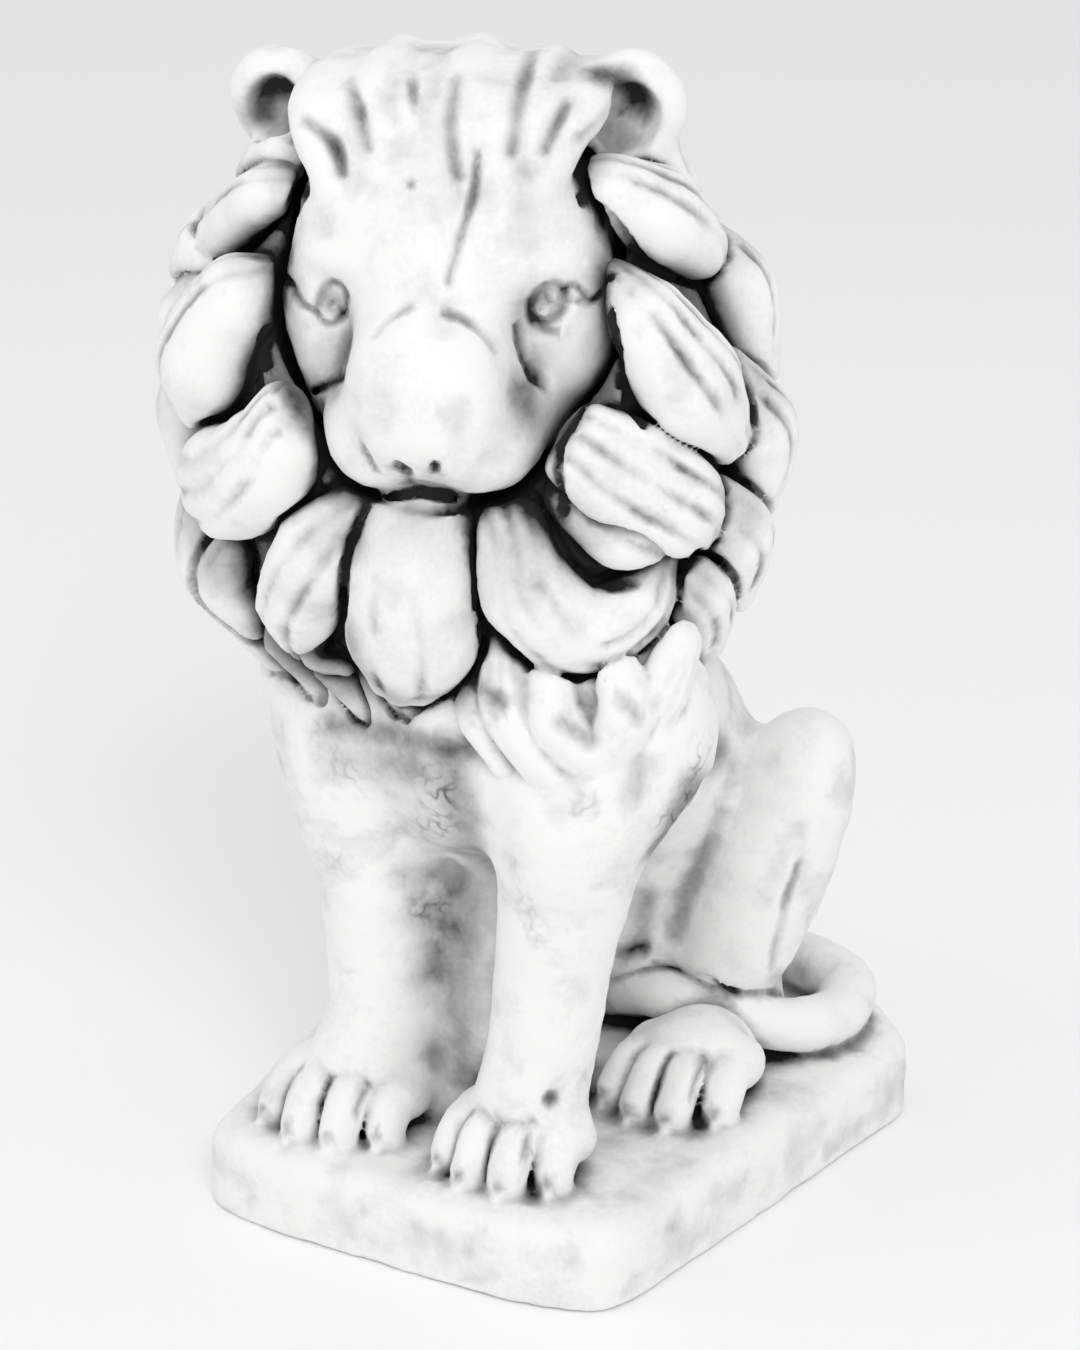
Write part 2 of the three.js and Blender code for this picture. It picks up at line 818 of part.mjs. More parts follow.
function quadricCost(q, [x, y, z]) {
  const squares = q[0] * x * x + q[4] * y * y + q[7] * z * z + q[9];
  const products = q[1] * x * y + q[2] * x * z + q[5] * y * z + q[3] * x + q[6] * y + q[8] * z;
  return squares + 2 * products;
}

// The point with the least cost, where it is well defined and near the edge, or else the edge's middle.
function bestPlace(q, a, b) {
  const middle = times(plus(a, b), 0.5);
  const system = new THREE.Matrix3().set(q[0], q[1], q[2], q[1], q[4], q[5], q[2], q[5], q[7]);
  const trace = q[0] + q[4] + q[7];
  if (Math.abs(system.determinant()) < 1e-4 * trace ** 3) return middle;
  const best = new THREE.Vector3(-q[3], -q[6], -q[8]).applyMatrix3(system.invert()).toArray();
  const span = Math.hypot(...plus(b, times(a, -1)));
  return Math.hypot(...plus(best, times(middle, -1))) > span ? middle : best;
}

function heapPush(heap, entry) {
  let i = heap.length;
  heap.push(entry);
  while (i > 0) {
    const parent = (i - 1) >> 1;
    if (heap[parent].cost <= entry.cost) break;
    heap[i] = heap[parent];
    i = parent;
  }
  heap[i] = entry;
}

function heapPop(heap) {
  const top = heap[0];
  const last = heap.pop();
  if (!heap.length) return top;
  let i = 0;
  for (;;) {
    let child = 2 * i + 1;
    if (child >= heap.length) break;
    if (child + 1 < heap.length && heap[child + 1].cost < heap[child].cost) child++;
    if (heap[child].cost >= last.cost) break;
    heap[i] = heap[child];
    i = child;
  }
  heap[i] = last;
  return top;
}

// Solids

function solidFrom(points, faces) {
  return new wasm.Manifold(
    new wasm.Mesh({
      numProp: 3,
      vertProperties: Float32Array.from(points),
      triVerts: Uint32Array.from(faces),
    }),
  );
}

function figureSolid() {
  const clay = new Clay(spaceLow, spaceHigh, cellSize);
  modelTorso(clay);
  for (const side of [RIGHT, LEFT]) modelHindLeg(clay, side);
  for (const leg of frontLegs) modelFrontLeg(clay, leg);
  modelTail(clay);
  modelManeCore(clay);
  modelLocks(clay);
  modelFaceHollow(clay);
  modelFace(clay);
  modelCrown(clay);
  for (const ear of ears) modelEar(clay, ear);
  const ground = { low: spaceLow, high: spaceHigh, distance: (x, y, z) => z + bedding };
  clay.carve(ground, 0.5);
  const skin = evened(outerSkin(skinOf(clay)), eveningPasses, eveningShare);
  const { points, faces } = new Thinner(skin).thin(figureTriangles);
  const placed = points.map((v, i) => v * drawingScale + (i % 3 === 2 ? plinth.height : 0));
  return solidFrom(placed, faces);
}

// The plinth's outline from above: it widens to the rear and its four corners are cut.
function plinthOutline(inset) {
  const front = -plinth.length / 2;
  const rear = plinth.length / 2;
  const { rightCut, leftCut, rearCut } = plinth;
  const halfWidthAt = (y) => mix(plinth.frontWidth, plinth.rearWidth, (y - front) / plinth.length) / 2;
  const outline = [
    [-halfWidthAt(front) + rightCut.across, front],
    [halfWidthAt(front) - leftCut.across, front],
    [halfWidthAt(front + leftCut.along), front + leftCut.along],
    [halfWidthAt(rear - rearCut.along), rear - rearCut.along],
    [halfWidthAt(rear) - rearCut.across, rear],
    [-halfWidthAt(rear) + rearCut.across, rear],
    [-halfWidthAt(rear - rearCut.along), rear - rearCut.along],
    [-halfWidthAt(front + rightCut.along), front + rightCut.along],
  ];
  const shrink = 1 - inset / (plinth.rearWidth / 2);
  return new THREE.Shape(outline.map(([x, y]) => new THREE.Vector2(x * shrink, y * shrink)));
}

// The slab has a rounded top edge; the lower bevel is cut off level, which leaves a sharp, flat underside.
function plinthSolid() {
  const { edgeRadius, edgeSteps, height } = plinth;
  const slab = new THREE.ExtrudeGeometry(plinthOutline(edgeRadius), {
    depth: height,
    bevelThickness: edgeRadius,
    bevelSize: edgeRadius,
    bevelSegments: edgeSteps,
    curveSegments: 1,
  });
  slab.translate(0, 0, -edgeRadius);
  const below = new THREE.BoxGeometry(2 * plinth.rearWidth, 2 * plinth.length, 4 * edgeRadius);
  below.translate(0, 0, -2 * edgeRadius);
  return solidOfGeometry(slab).subtract(solidOfGeometry(below));
}

// Merges a geometry's equal corners, so that it closes, and makes it a solid.
function solidOfGeometry(geometry) {
  const position = geometry.getAttribute("position");
  const order = geometry.index ? Array.from(geometry.index.array) : Array.from(position.array.keys());
  const known = new Map();
  const points = [];
  const faces = [];
  for (let i = 0; i < (geometry.index ? order.length : position.count); i++) {
    const v = geometry.index ? order[i] : i;
    const place = [position.getX(v), position.getY(v), position.getZ(v)].map((c) => Math.round(c * 1e4) / 1e4);
    const key = place.join();
    if (!known.has(key)) {
      known.set(key, points.length / 3);
      points.push(...place);
    }
    faces.push(known.get(key));
  }
  return solidFrom(points, faces);
}

function meshOf(solid, name, material) {
  const made = solid.getMesh();
  const geometry = new THREE.BufferGeometry();
  geometry.setAttribute("position", new THREE.BufferAttribute(Float32Array.from(made.vertProperties), 3));
  geometry.setIndex(Array.from(made.triVerts));
  const mesh = new THREE.Mesh(geometry, material);
  mesh.name = name;
  return mesh;
}

const paleStone = new THREE.MeshStandardMaterial({ color: 0xe4e4e2, roughness: 0.85, metalness: 0 });

const statue = new THREE.Group();
statue.name = "lion_statue_group";
statue.add(meshOf(plinthSolid().add(figureSolid()), "lion_statue", paleStone));

export default statue;
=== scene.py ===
"""A seated lion cast in pale stone in one piece with its plinth, dressed for rendering.

The CAD solid is replaced by one finely carved surface of the same form. The figure is modelled in a
grid of signed distances, the way a sculptor builds up clay: rounded masses are blended together,
locks of hair are laid over the mane with a trench round each, and the face is set in its hollow. A
surface net is drawn round the result, thinned, and roughened a little like an old casting. Its
colour is darkened where the carving is deep: antiquing together with painted shade, darkest in
the creases, in the gaps round the face and under the locks.

Points are in millimetres on a drawing of the figure whose z starts at the top of the plinth, and
the finished mesh is in metres.
"""

import logging
import math
from collections.abc import Sequence
from dataclasses import dataclass, field
from enum import Enum

import bpy
import numpy as np
from mathutils import Euler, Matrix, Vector

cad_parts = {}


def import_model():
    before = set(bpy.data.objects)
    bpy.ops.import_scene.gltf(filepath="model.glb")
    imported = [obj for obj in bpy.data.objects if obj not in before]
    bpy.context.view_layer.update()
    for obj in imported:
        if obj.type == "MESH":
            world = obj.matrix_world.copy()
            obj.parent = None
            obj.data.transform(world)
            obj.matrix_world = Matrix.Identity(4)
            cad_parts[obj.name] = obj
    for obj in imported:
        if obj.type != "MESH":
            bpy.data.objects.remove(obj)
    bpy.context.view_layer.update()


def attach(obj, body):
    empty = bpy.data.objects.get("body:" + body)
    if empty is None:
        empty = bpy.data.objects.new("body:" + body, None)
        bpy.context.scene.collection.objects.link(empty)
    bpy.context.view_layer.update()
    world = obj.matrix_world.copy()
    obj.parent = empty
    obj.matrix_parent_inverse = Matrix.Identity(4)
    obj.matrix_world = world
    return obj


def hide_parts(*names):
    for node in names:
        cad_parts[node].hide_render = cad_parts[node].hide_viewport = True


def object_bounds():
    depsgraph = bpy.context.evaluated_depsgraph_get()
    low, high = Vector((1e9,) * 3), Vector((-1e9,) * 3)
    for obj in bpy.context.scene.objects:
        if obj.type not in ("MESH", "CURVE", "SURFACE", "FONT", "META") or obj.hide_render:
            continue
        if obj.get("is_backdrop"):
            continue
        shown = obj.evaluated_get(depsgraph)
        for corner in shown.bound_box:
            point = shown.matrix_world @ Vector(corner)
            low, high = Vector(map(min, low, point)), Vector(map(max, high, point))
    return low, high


Point = tuple[float, float, float]
Array = np.ndarray
Window = tuple[slice, slice, slice]

log = logging.getLogger("lion_statue")

MM = 0.001
FAR = 40.0  # the distance that empty clay starts with
TINY = 1e-9  # keeps a division away from nought


class Side(Enum):
    """The lion's two sides, by the sign of x."""

    RIGHT = -1
    LEFT = 1


# Vectors and shapes shared by the sub-assemblies


def placed(name: str, data: bpy.types.ID) -> bpy.types.Object:
    """An object of the scene that shows a mesh, a camera or a light.

    Args:
        name: the object's name.
        data: what it shows.

    Returns:
        The object.
    """
    made = bpy.data.objects.new(name, data)
    bpy.context.collection.objects.link(made)
    return made


def turned_to(way: Array | Vector) -> Euler:
    """The rotation that makes a camera or a light face a direction."""
    return Vector(way).to_track_quat("-Z", "Y").to_euler()


def unit(v: Array) -> Array:
    """A vector scaled to length one."""
    return v / max(float(np.linalg.norm(v)), TINY)


def turned_axes(turn: float, nod: float = 0.0) -> Array:
    """The side, front and top of something that faces forward, turned to the lion's left and nodding.

    Args:
        turn: how far it turns, in degrees.
        nod: how far it looks down, in degrees.

    Returns:
        The three directions, one row each.
    """
    turn, nod = math.radians(turn), math.radians(nod)
    side = np.array([math.cos(turn), math.sin(turn), 0])
    level = np.array([math.sin(turn), -math.cos(turn), 0])
    up = np.array([0, 0, 1.0])
    ahead = level * math.cos(nod) - up * math.sin(nod)
    return np.array([side, ahead, up * math.cos(nod) + level * math.sin(nod)])


def soft_least(a: Array, b: Array, blend: float) -> Array:
    """The smaller of two distances, with the crease between them filled.

    The fill is a quarter of h squared times the blend, where h falls from one where the distances
    are equal to nought where they differ by the blend.

    Args:
        a: one field of distances.
        b: the other field of distances.
        blend: how widely the crease is filled, in millimetres.

    Returns:
        The joined field.
    """
    h = np.maximum(blend - np.abs(a - b), 0.0) / blend
    return np.minimum(a, b) - h * h * (blend / 4)


def spine_through(points: Sequence[Point], steps: int) -> Array:
    """A smooth curve through points: a centripetal Catmull-Rom spline.

    Each span is a cubic whose end slopes come from the neighbouring points, with the spans timed by
    the square root of their lengths. The spline is carried past both ends in a straight line.

    Args:
        points: the points that the curve passes through.
        steps: how many stretches each span is divided into.

    Returns:
        An array of points along the curve, one row each.
    """
    p = np.array(points, float)
    p = np.vstack([2 * p[0] - p[1], p, 2 * p[-1] - p[-2]])
    gaps = np.maximum(np.linalg.norm(np.diff(p, axis=0), axis=1) ** 0.5, 1e-4)
    rows = []
    for i in range(1, len(p) - 2):
        before, span, after = gaps[i - 1], gaps[i], gaps[i + 1]
        a, b, c, d = p[i - 1], p[i], p[i + 1], p[i + 2]
        slope_b = ((b - a) / before - (c - a) / (before + span) + (c - b) / span) * span
        slope_c = ((c - b) / span - (d - b) / (span + after) + (d - c) / after) * span
        t = np.arange(steps + (i == len(p) - 3))[:, None] / steps
        cubic = 2 * b - 2 * c + slope_b + slope_c
        square = -3 * b + 3 * c - 2 * slope_b - slope_c
        rows.append(b + slope_b * t + square * t**2 + cubic * t**3)
    return np.vstack(rows)


@dataclass(frozen=True)
class Ball:
    """An ellipsoid.

    Attributes:
        centre: its middle on the drawing.
        radii: its half sizes along its axes.
        axes: its three directions, one row each.
    """

    centre: Point
    radii: Point
    axes: Array = field(default_factory=lambda: np.eye(3))

    def box(self) -> tuple[Array, Array]:
        """The lowest and highest corners that hold it."""
        reach = np.sqrt(((self.axes * np.array(self.radii)[:, None]) ** 2).sum(axis=0))
        return np.array(self.centre) - reach, np.array(self.centre) + reach

    def distance(self, clay: "Clay", window: Window) -> Array:
        """The distance to the surface: k0 (k0 - 1) / k1.

        k0 is the point's length measured in radii, and k1 the length of its gradient.

        Args:
            clay: the grid.
            window: the part of the grid to work out.

        Returns:
            Signed distances, negative inside.
        """
        x, y, z = clay.places(window)
        dx, dy, dz = x - self.centre[0], y - self.centre[1], z - self.centre[2]
        near: Array = np.float32(0)
        steep: Array = np.float32(0)
        for axis, radius in zip(self.axes, self.radii):
            along = dx * np.float32(axis[0]) + dy * np.float32(axis[1]) + dz * np.float32(axis[2])
            near = near + (along / radius) ** 2
            steep = steep + (along / radius**2) ** 2
        near = np.sqrt(near)
        return near * (near - 1) / np.maximum(np.sqrt(steep), TINY)


@dataclass(frozen=True)
class Limb:
    """A round or flattened bar swept along a smooth spine.

    Attributes:
        points: what the spine passes through.
        radii: its half width at each of the points.
        flatness: its thickness as a share of its width.
        flat_from: the point that its flat side faces away from.
        strands: how many strands of hair its face is grooved into.
        groove: how deep the grooves between strands are.
        steps: how many straight stretches each span of the spine has.
    """

    points: Sequence[Point]
    radii: Sequence[float]
    flatness: float = 1.0
    flat_from: Point | None = None
    strands: int = 0
    groove: float = 0.0
    steps: int = 5

    def joints(self) -> tuple[Array, Array]:
        """The places and radii at the ends of the straight stretches."""
        places = spine_through(self.points, self.steps)
        along = np.linspace(0, len(self.points) - 1, len(places))
        return places, np.interp(along, np.arange(len(self.radii)), self.radii)

    def box(self) -> tuple[Array, Array]:
        """The lowest and highest corners that hold it."""
        places, radii = self.joints()
        reach = radii.max()
        return places.min(axis=0) - reach, places.max(axis=0) + reach

    def distance(self, clay: "Clay", window: Window) -> Array:
        """The least distance to any stretch of the spine, less the radius there.

        A flattened section is measured as an ellipse is, and its outer face is lowered by
        groove times (1 - |sin|) across the strands, which leaves rounded ridges.

        Args:
            clay: the grid.
            window: the part of the grid to work out.

        Returns:
            Signed distances, negative inside.
        """
        shape = tuple(s.stop - s.start for s in window)
        least = np.full(shape, FAR, np.float32)
        places, radii = self.joints()
        for a, b, ra, rb in zip(places[:-1], places[1:], radii[:-1], radii[1:]):
            reach = max(ra, rb) + clay.margin
            low, high = np.minimum(a, b) - reach, np.maximum(a, b) + reach
            part = clay.window(low, high, 0.0, within=window)
            if part is None:
                continue
            local = tuple(slice(p.start - w.start, p.stop - w.start) for p, w in zip(part, window))
            least[local] = np.minimum(least[local], self._stretch(clay, part, a, b, ra, rb))
        return least

    def _stretch(self, clay: "Clay", part: Window, a: Array, b: Array, ra: float, rb: float) -> Array:
        """The distance to one straight stretch from a to b, whose radius goes from ra to rb.

        Args:
            clay: the grid.
            part: the part of the grid to work out.
            a: where the stretch starts.
            b: where it ends.
            ra: the half width where it starts.
            rb: the half width where it ends.

        Returns:
            Signed distances, negative inside.
        """
        x, y, z = clay.places(part)
        way = (b - a).astype(np.float32)
        length_squared = max(float(way @ way), TINY)
        dx, dy, dz = x - np.float32(a[0]), y - np.float32(a[1]), z - np.float32(a[2])
        t = np.clip((dx * way[0] + dy * way[1] + dz * way[2]) / length_squared, 0, 1)
        radius = ra + (rb - ra) * t
        ox, oy, oz = dx - way[0] * t, dy - way[1] * t, dz - way[2] * t
        squared = ox * ox + oy * oy + oz * oz
        if self.flat_from is None:
            return np.sqrt(squared) - radius
        outward = (a + b) / 2 - np.array(self.flat_from)
        outward = unit(outward - way * (outward @ way) / length_squared).astype(np.float32)
        out = ox * outward[0] + oy * outward[1] + oz * outward[2]
        side_squared = np.maximum(squared - out * out, 0)
        thin = radius * self.flatness
        near = np.sqrt(side_squared / radius**2 + (out / thin) ** 2)
        steep = np.sqrt(side_squared / radius**4 + (out / thin**2) ** 2)
        made = near * (near - 1) / np.maximum(steep, TINY)
        if self.strands:
            across = unit(np.cross(way, outward)).astype(np.float32)
            share = (ox * across[0] + oy * across[1] + oz * across[2]) / radius
            wave = np.abs(np.sin(np.pi * self.strands * (share + 1) / 2))
            facing = np.clip(out / thin + 0.3, 0, 1)
            made = made + self.groove * (1 - wave) ** 2 * facing * (np.abs(share) < 1)
        return made


@dataclass(frozen=True)
class Slab:
    """An upright slab with a convex outline, a rounded top edge and a flat underside.

    Attributes:
        outline: its corners from above, in order against the clock.
        bottom: the level of its underside.
        top: the level of its top.
        edge: how widely the top edge is rounded.
        corner: how widely its upright corners are rounded.
    """

    outline: Sequence[tuple[float, float]]
    bottom: float
    top: float
    edge: float
    corner: float

    def box(self) -> tuple[Array, Array]:
        """The lowest and highest corners that hold it."""
        flat = np.array(self.outline)
        return np.append(flat.min(axis=0), self.bottom), np.append(flat.max(axis=0), self.top)

    def distance(self, clay: "Clay", window: Window) -> Array:
        """The greatest of the distances to its sides, top and underside, rounded between them.

        Args:
            clay: the grid.
            window: the part of the grid to work out.

        Returns:
            Signed distances, negative inside.
        """
        x, y, z = clay.places(window)
        corners = np.array(self.outline)
        made: Array | None = None
        for a, b in zip(corners, np.roll(corners, -1, axis=0)):
            along = (b - a) / np.linalg.norm(b - a)
            side = (x - a[0]) * along[1] - (y - a[1]) * along[0]
            made = side if made is None else -soft_least(-made, -side, self.corner)
        made = -soft_least(-(made + 0 * z), -(z - self.top), self.edge)
        return np.maximum(made, self.bottom - z).astype(np.float32)


class Clay:
    """A grid of signed distances that masses are blended into or carved from.

    Attributes:
        trench_lip: how widely a trench's upper edge is rounded.
        trench_floor: how widely its floor is rounded.
    """

    trench_lip: float = 1.2
    trench_floor: float = 1.5

    def __init__(self, low: Point, high: Point, cell: float) -> None:
        """Makes empty clay.

        Args:
            low: the lowest corner of the grid.
            high: its highest corner.
            cell: the spacing of its points.
        """
        self.low = np.array(low, float)
        self.cell = cell
        self.margin = 3 * cell
        self.count = np.ceil((np.array(high) - self.low) / cell).astype(int) + 1
        self.field = np.full(tuple(self.count), FAR, np.float32)

    def window(
        self, low: Array, high: Array, margin: float, within: Window | None = None
    ) -> Window | None:
        """The part of the grid that holds a box.

        Args:
            low: the box's lowest corner.
            high: its highest corner.
            margin: how much room to leave round it.
            within: a window that the result may not leave.

        Returns:
            Three slices, or None where nothing is left.
        """
        first = np.floor((low - margin - self.low) / self.cell).astype(int)
        last = np.ceil((high + margin - self.low) / self.cell).astype(int) + 1
        limits = within or tuple(slice(0, n) for n in self.count)
        found = tuple(
            slice(max(int(f), s.start), min(int(g), s.stop)) for f, g, s in zip(first, last, limits)
        )
        return None if any(s.stop <= s.start for s in found) else found

    def places(self, window: Window) -> tuple[Array, Array, Array]:
        """The x, y and z of a window's points, shaped to spread over one another.

        Args:
            window: the part of the grid.

        Returns:
            Three arrays, one for each axis.
        """
        x, y, z = (
            (self.low[i] + self.cell * np.arange(s.start, s.stop)).astype(np.float32)
            for i, s in enumerate(window)
        )
        return x[:, None, None], y[None, :, None], z[None, None, :]

    def add(
        self, mass: Ball | Limb | Slab, blend: float, trench: float = 0.0, depth: float = 5.0
    ) -> None:
        """Adds a mass, first carving a trench round it where one is asked for.

        Args:
            mass: what is added.
            blend: how widely the crease between old and new is filled.
            trench: how wide the trench along its edge is.
            depth: how deep the trench goes below the old surface.
        """
        window = self.window(*mass.box(), blend + trench + self.margin)
        if window is None:
            return
        self.join(window, mass.distance(self, window), blend, trench, depth)

    def join(self, window: Window, made: Array, blend: float, trench: float, depth: float) -> None:
        """Joins a field of distances to the clay.

        The trench is the greater of the old distance and the trench's width less the new one, and
        never more than its depth below the old surface.

        Args:
            window: the part of the grid that the field covers.
            made: the field.
            blend: how widely the crease between old and new is filled.
            trench: how wide the trench along the edge is.
            depth: how deep the trench goes below the old surface.
        """
        old = self.field[window]
        if trench:
            carved = -soft_least(-old, made - trench, self.trench_lip)
            old = soft_least(carved, old + depth, self.trench_floor)
        self.field[window] = soft_least(old, made, blend)

    def carve(self, mass: Ball | Limb | Slab, blend: float) -> None:
        """Carves a mass away, leaving an edge rounded by the blend.

        Args:
            mass: what is carved away.
            blend: how widely the edge is rounded.
        """
        window = self.window(*mass.box(), blend + self.margin)
        if window is None:
            return
        made = mass.distance(self, window)
        self.field[window] = -soft_least(-self.field[window], made, blend)

    def read(self, points: Array) -> Array:
        """The distances at some points."""
        return sampled(self.field, self.low, self.cell, points)

    def touch(self, eye: Array, way: Array, near: float, far: float) -> Array:
        """The first place where a straight line meets the clay, found by small steps along it.

        Args:
            eye: where the line starts.
            way: its direction.
            near: how far along it the search begins.
            far: how far along it the search ends.

        Returns:
            The place on the drawing.
        """
        steps = np.arange(near, far, self.cell / 4)
        points = eye + steps[:, None] * unit(way)
        return points[int(np.argmax(self.read(points) < 0))]

    def slope(self, point: Array) -> Array:
        """The outward direction of the surface at a point, from differences of the distance."""
        steps = np.eye(3) * self.cell * 1.5
        return unit(self.read(point + steps) - self.read(point - steps))


@dataclass(frozen=True)
class Mark:
    """Dark antiquing and painted shade that lie along a line on the stone and fade out to its sides.

    Attributes:
        line: its places on the drawing, one row each.
        reach: how far from the line it ends.
        tone: how dark it is along the line, from 0 to 1.
    """

    line: Array
    reach: float
    tone: float

    def darkness(self, points: Array) -> Array:
        """How dark the mark makes some points.

        The share of the reach that is left at the nearest place of the line, by an S-shaped step,
        times the tone.

        Args:
            points: the points, one row each.

        Returns:
            One value for each point.
        """
        low, high = self.line.min(axis=0) - self.reach, self.line.max(axis=0) + self.reach
        near = np.flatnonzero(((points > low) & (points < high)).all(axis=1))
        least = np.linalg.norm(points[near] - self.line[0], axis=1)
        for a, b in zip(self.line[:-1], self.line[1:]):
            way = b - a
            t = np.clip((points[near] - a) @ way / max(float(way @ way), TINY), 0, 1)
            least = np.minimum(least, np.linalg.norm(points[near] - a - t[:, None] * way, axis=1))
        left = np.clip(1 - least / self.reach, 0, 1)
        dark = np.zeros(len(points))
        dark[near] = self.tone * left * left * (3 - 2 * left)
        return dark


# The figure's own axes


@dataclass(frozen=True)
class HeadAxes:
    """Where the head is and how it is turned.

    Attributes:
        origin: the middle of the skull.
        turn: how far it turns to the lion's left, in degrees.
        nod: how far it looks down, in degrees.
    """

    origin: Point = (-6.0, -62.0, 382.0)
    turn: float = 17.5
    nod: float = 12.0

    def axes(self) -> Array:
        """The directions of the head's side, front and top, one row each."""
        return turned_axes(self.turn, self.nod)

    def place(self, point: Point) -> Point:
        """A point of the head, given as side, forward and up, on the drawing."""
        return tuple(np.array(self.origin) + np.array(point) @ self.axes())

    def ball(self, centre: Point, radii: Point) -> Ball:
        """An ellipsoid whose axes are the head's."""
        return Ball(self.place(centre), radii, self.axes())

    def limb(self, points: Sequence[Point], radii: Sequence[float], **more: float) -> Limb:
        """A limb through points of the head."""
        return Limb([self.place(p) for p in points], radii, **more)


@dataclass(frozen=True)
class ManeBody:
    """The rounded body of hair under the locks: half of one ellipsoid in front, half of a deeper one
    behind, turned with the head.

    Attributes:
        centre: its middle.
        half_width: its half size from side to side.
        front: how far it reaches forward.
        back: how far it reaches backward.
        half_height: its half size upward.
        turn: how far it turns to the lion's left, in degrees.
    """

    centre: Point = (-5.0, -64.0, 311.0)
    half_width: float = 125.0
    front: float = 82.0
    back: float = 98.0
    half_height: float = 148.0
    turn: float = 15.0

    def axes(self) -> Array:
        """The directions of its side, front and top, one row each."""
        return turned_axes(self.turn)

    def place(self, turn: float, rise: float, lift: float = 0.0) -> Point:
        """A point of the surface, from its turn (0 at the front) and rise in degrees.

        Args:
            turn: the angle round the mane, 90 at the lion's left.
            rise: the angle above the mane's middle.
            lift: how far out of the surface the point stands.

        Returns:
            The point on the drawing.
        """
        a, b = math.radians(turn), math.radians(rise)
        depth = self.front if math.cos(a) > 0 else self.back
        local = [
            math.sin(a) * math.cos(b) * (self.half_width + lift),
            math.cos(a) * math.cos(b) * (depth + lift),
            math.sin(b) * (self.half_height + lift),
        ]
        return tuple(np.array(self.centre) + np.array(local) @ self.axes())

    def model(self, clay: Clay, share: float, blend: float) -> None:
        """Adds the body at a share of its full size.

        Args:
            clay: what it is modelled in.
            share: the share.
            blend: how widely the crease round it is filled.
        """
        halves = []
        for depth in (self.front, self.back):
            radii = tuple(share * r for r in (self.half_width, depth, self.half_height))
            halves.append(Ball(self.centre, radii, self.axes()))
        window = clay.window(*halves[1].box(), blend + clay.margin)
        x, y, _ = clay.places(window)
        ahead = self.axes()[1]
        forward = (x - self.centre[0]) * ahead[0] + (y - self.centre[1]) * ahead[1]
        made = [half.distance(clay, window) for half in halves]
        body = np.where(forward > 0, made[0], made[1])
        clay.field[window] = soft_least(clay.field[window], body, blend)


# Sub-assemblies


@dataclass(frozen=True)
class Plinth:
    """The low plinth, which widens to the rear and has its four corners cut.

    Attributes:
        height: how tall it is.
        length: its depth from front to rear.
        front_width: its width at the front, before the corners are cut.
        rear_width: its width at the rear, before the corners are cut.
        right_cut: how far the front right corner is cut, across and along.
        left_cut: how far the front left corner is cut, across and along.
        rear_cut: how far the rear corners are cut, across and along.
    """

    height: float = 38.0
    length: float = 288.0
    front_width: float = 200.0
    rear_width: float = 286.0
    right_cut: tuple[float, float] = (19.0, 8.0)
    left_cut: tuple[float, float] = (27.0, 15.0)
    rear_cut: tuple[float, float] = (54.0, 47.0)

    def half_width(self, y: float) -> float:
        """Half of the width at a place along it."""
        share = (y + self.length / 2) / self.length
        return (self.front_width + (self.rear_width - self.front_width) * share) / 2

    def outline(self) -> list[tuple[float, float]]:
        """Its corners from above, against the clock."""
        front, rear = -self.length / 2, self.length / 2
        right, left, back = self.right_cut, self.left_cut, self.rear_cut
        return [
            (-self.half_width(front) + right[0], front),
            (self.half_width(front) - left[0], front),
            (self.half_width(front + left[1]), front + left[1]),
            (self.half_width(rear - back[1]), rear - back[1]),
            (self.half_width(rear) - back[0], rear),
            (-self.half_width(rear) + back[0], rear),
            (-self.half_width(rear - back[1]), rear - back[1]),
            (-self.half_width(front + right[1]), front + right[1]),
        ]

    def model(self, clay: Clay) -> None:
        """Adds the slab under the figure."""
        clay.add(Slab(self.outline(), -self.height, 0.0, edge=13.0, corner=14.0), 5.0)


@dataclass(frozen=True)
class Toe:
    """One toe, from its root over the knuckle to its tip on the plinth.

    Attributes:
        root: where it leaves the paw.
        tip: where it ends.
        knuckle_radius: its half width at the knuckle.
        spread: how much further from the paw's middle line it is carved, as a share.
    """

    root: Point
    tip: Point
    knuckle_radius: float = 10.0
    spread: float = 0.12

    def model(self, clay: Clay) -> None:
        """Adds the toe with a narrow crease along each side, and its blunt claw.

        Args:
            clay: what it is modelled in.
        """
        root, tip = np.array(self.root), np.array(self.tip)
        knuckle = root + (tip - root) * 0.6
        knuckle[2] = root[2] + 1
        r = self.knuckle_radius
        points = [tuple(root), tuple(knuckle), tuple(tip)]
        clay.add(Limb(points, [r - 1, r, r - 1]), 1.4, trench=2.2, depth=3.0)
        ahead = unit((tip - root) * [1, 1, 0])
        nail = [tuple(tip + ahead * 5.5 + [0, 0, 1.5]), tuple(tip + ahead * 9.0 + [0, 0, -3.0])]
        clay.add(Limb(nail, [3.2, 2.0]), 1.0)

    def pushed_out(self, middle: float) -> "Toe":
        """The toe set a little further from the paw's middle line, which is given by its x.

        Args:
            middle: the middle line's x.

        Returns:
            The moved toe.
        """
        root, tip = (
            (x + (x - middle) * self.spread, y, z) for x, y, z in (self.root, self.tip)
        )
        return Toe(root, tip, self.knuckle_radius)


CLAW_MARK = (5.0, 0.55)  # how far the antiquing and painted shade reach, and how dark they are
CREASE_MARK = (3.4, 0.55)


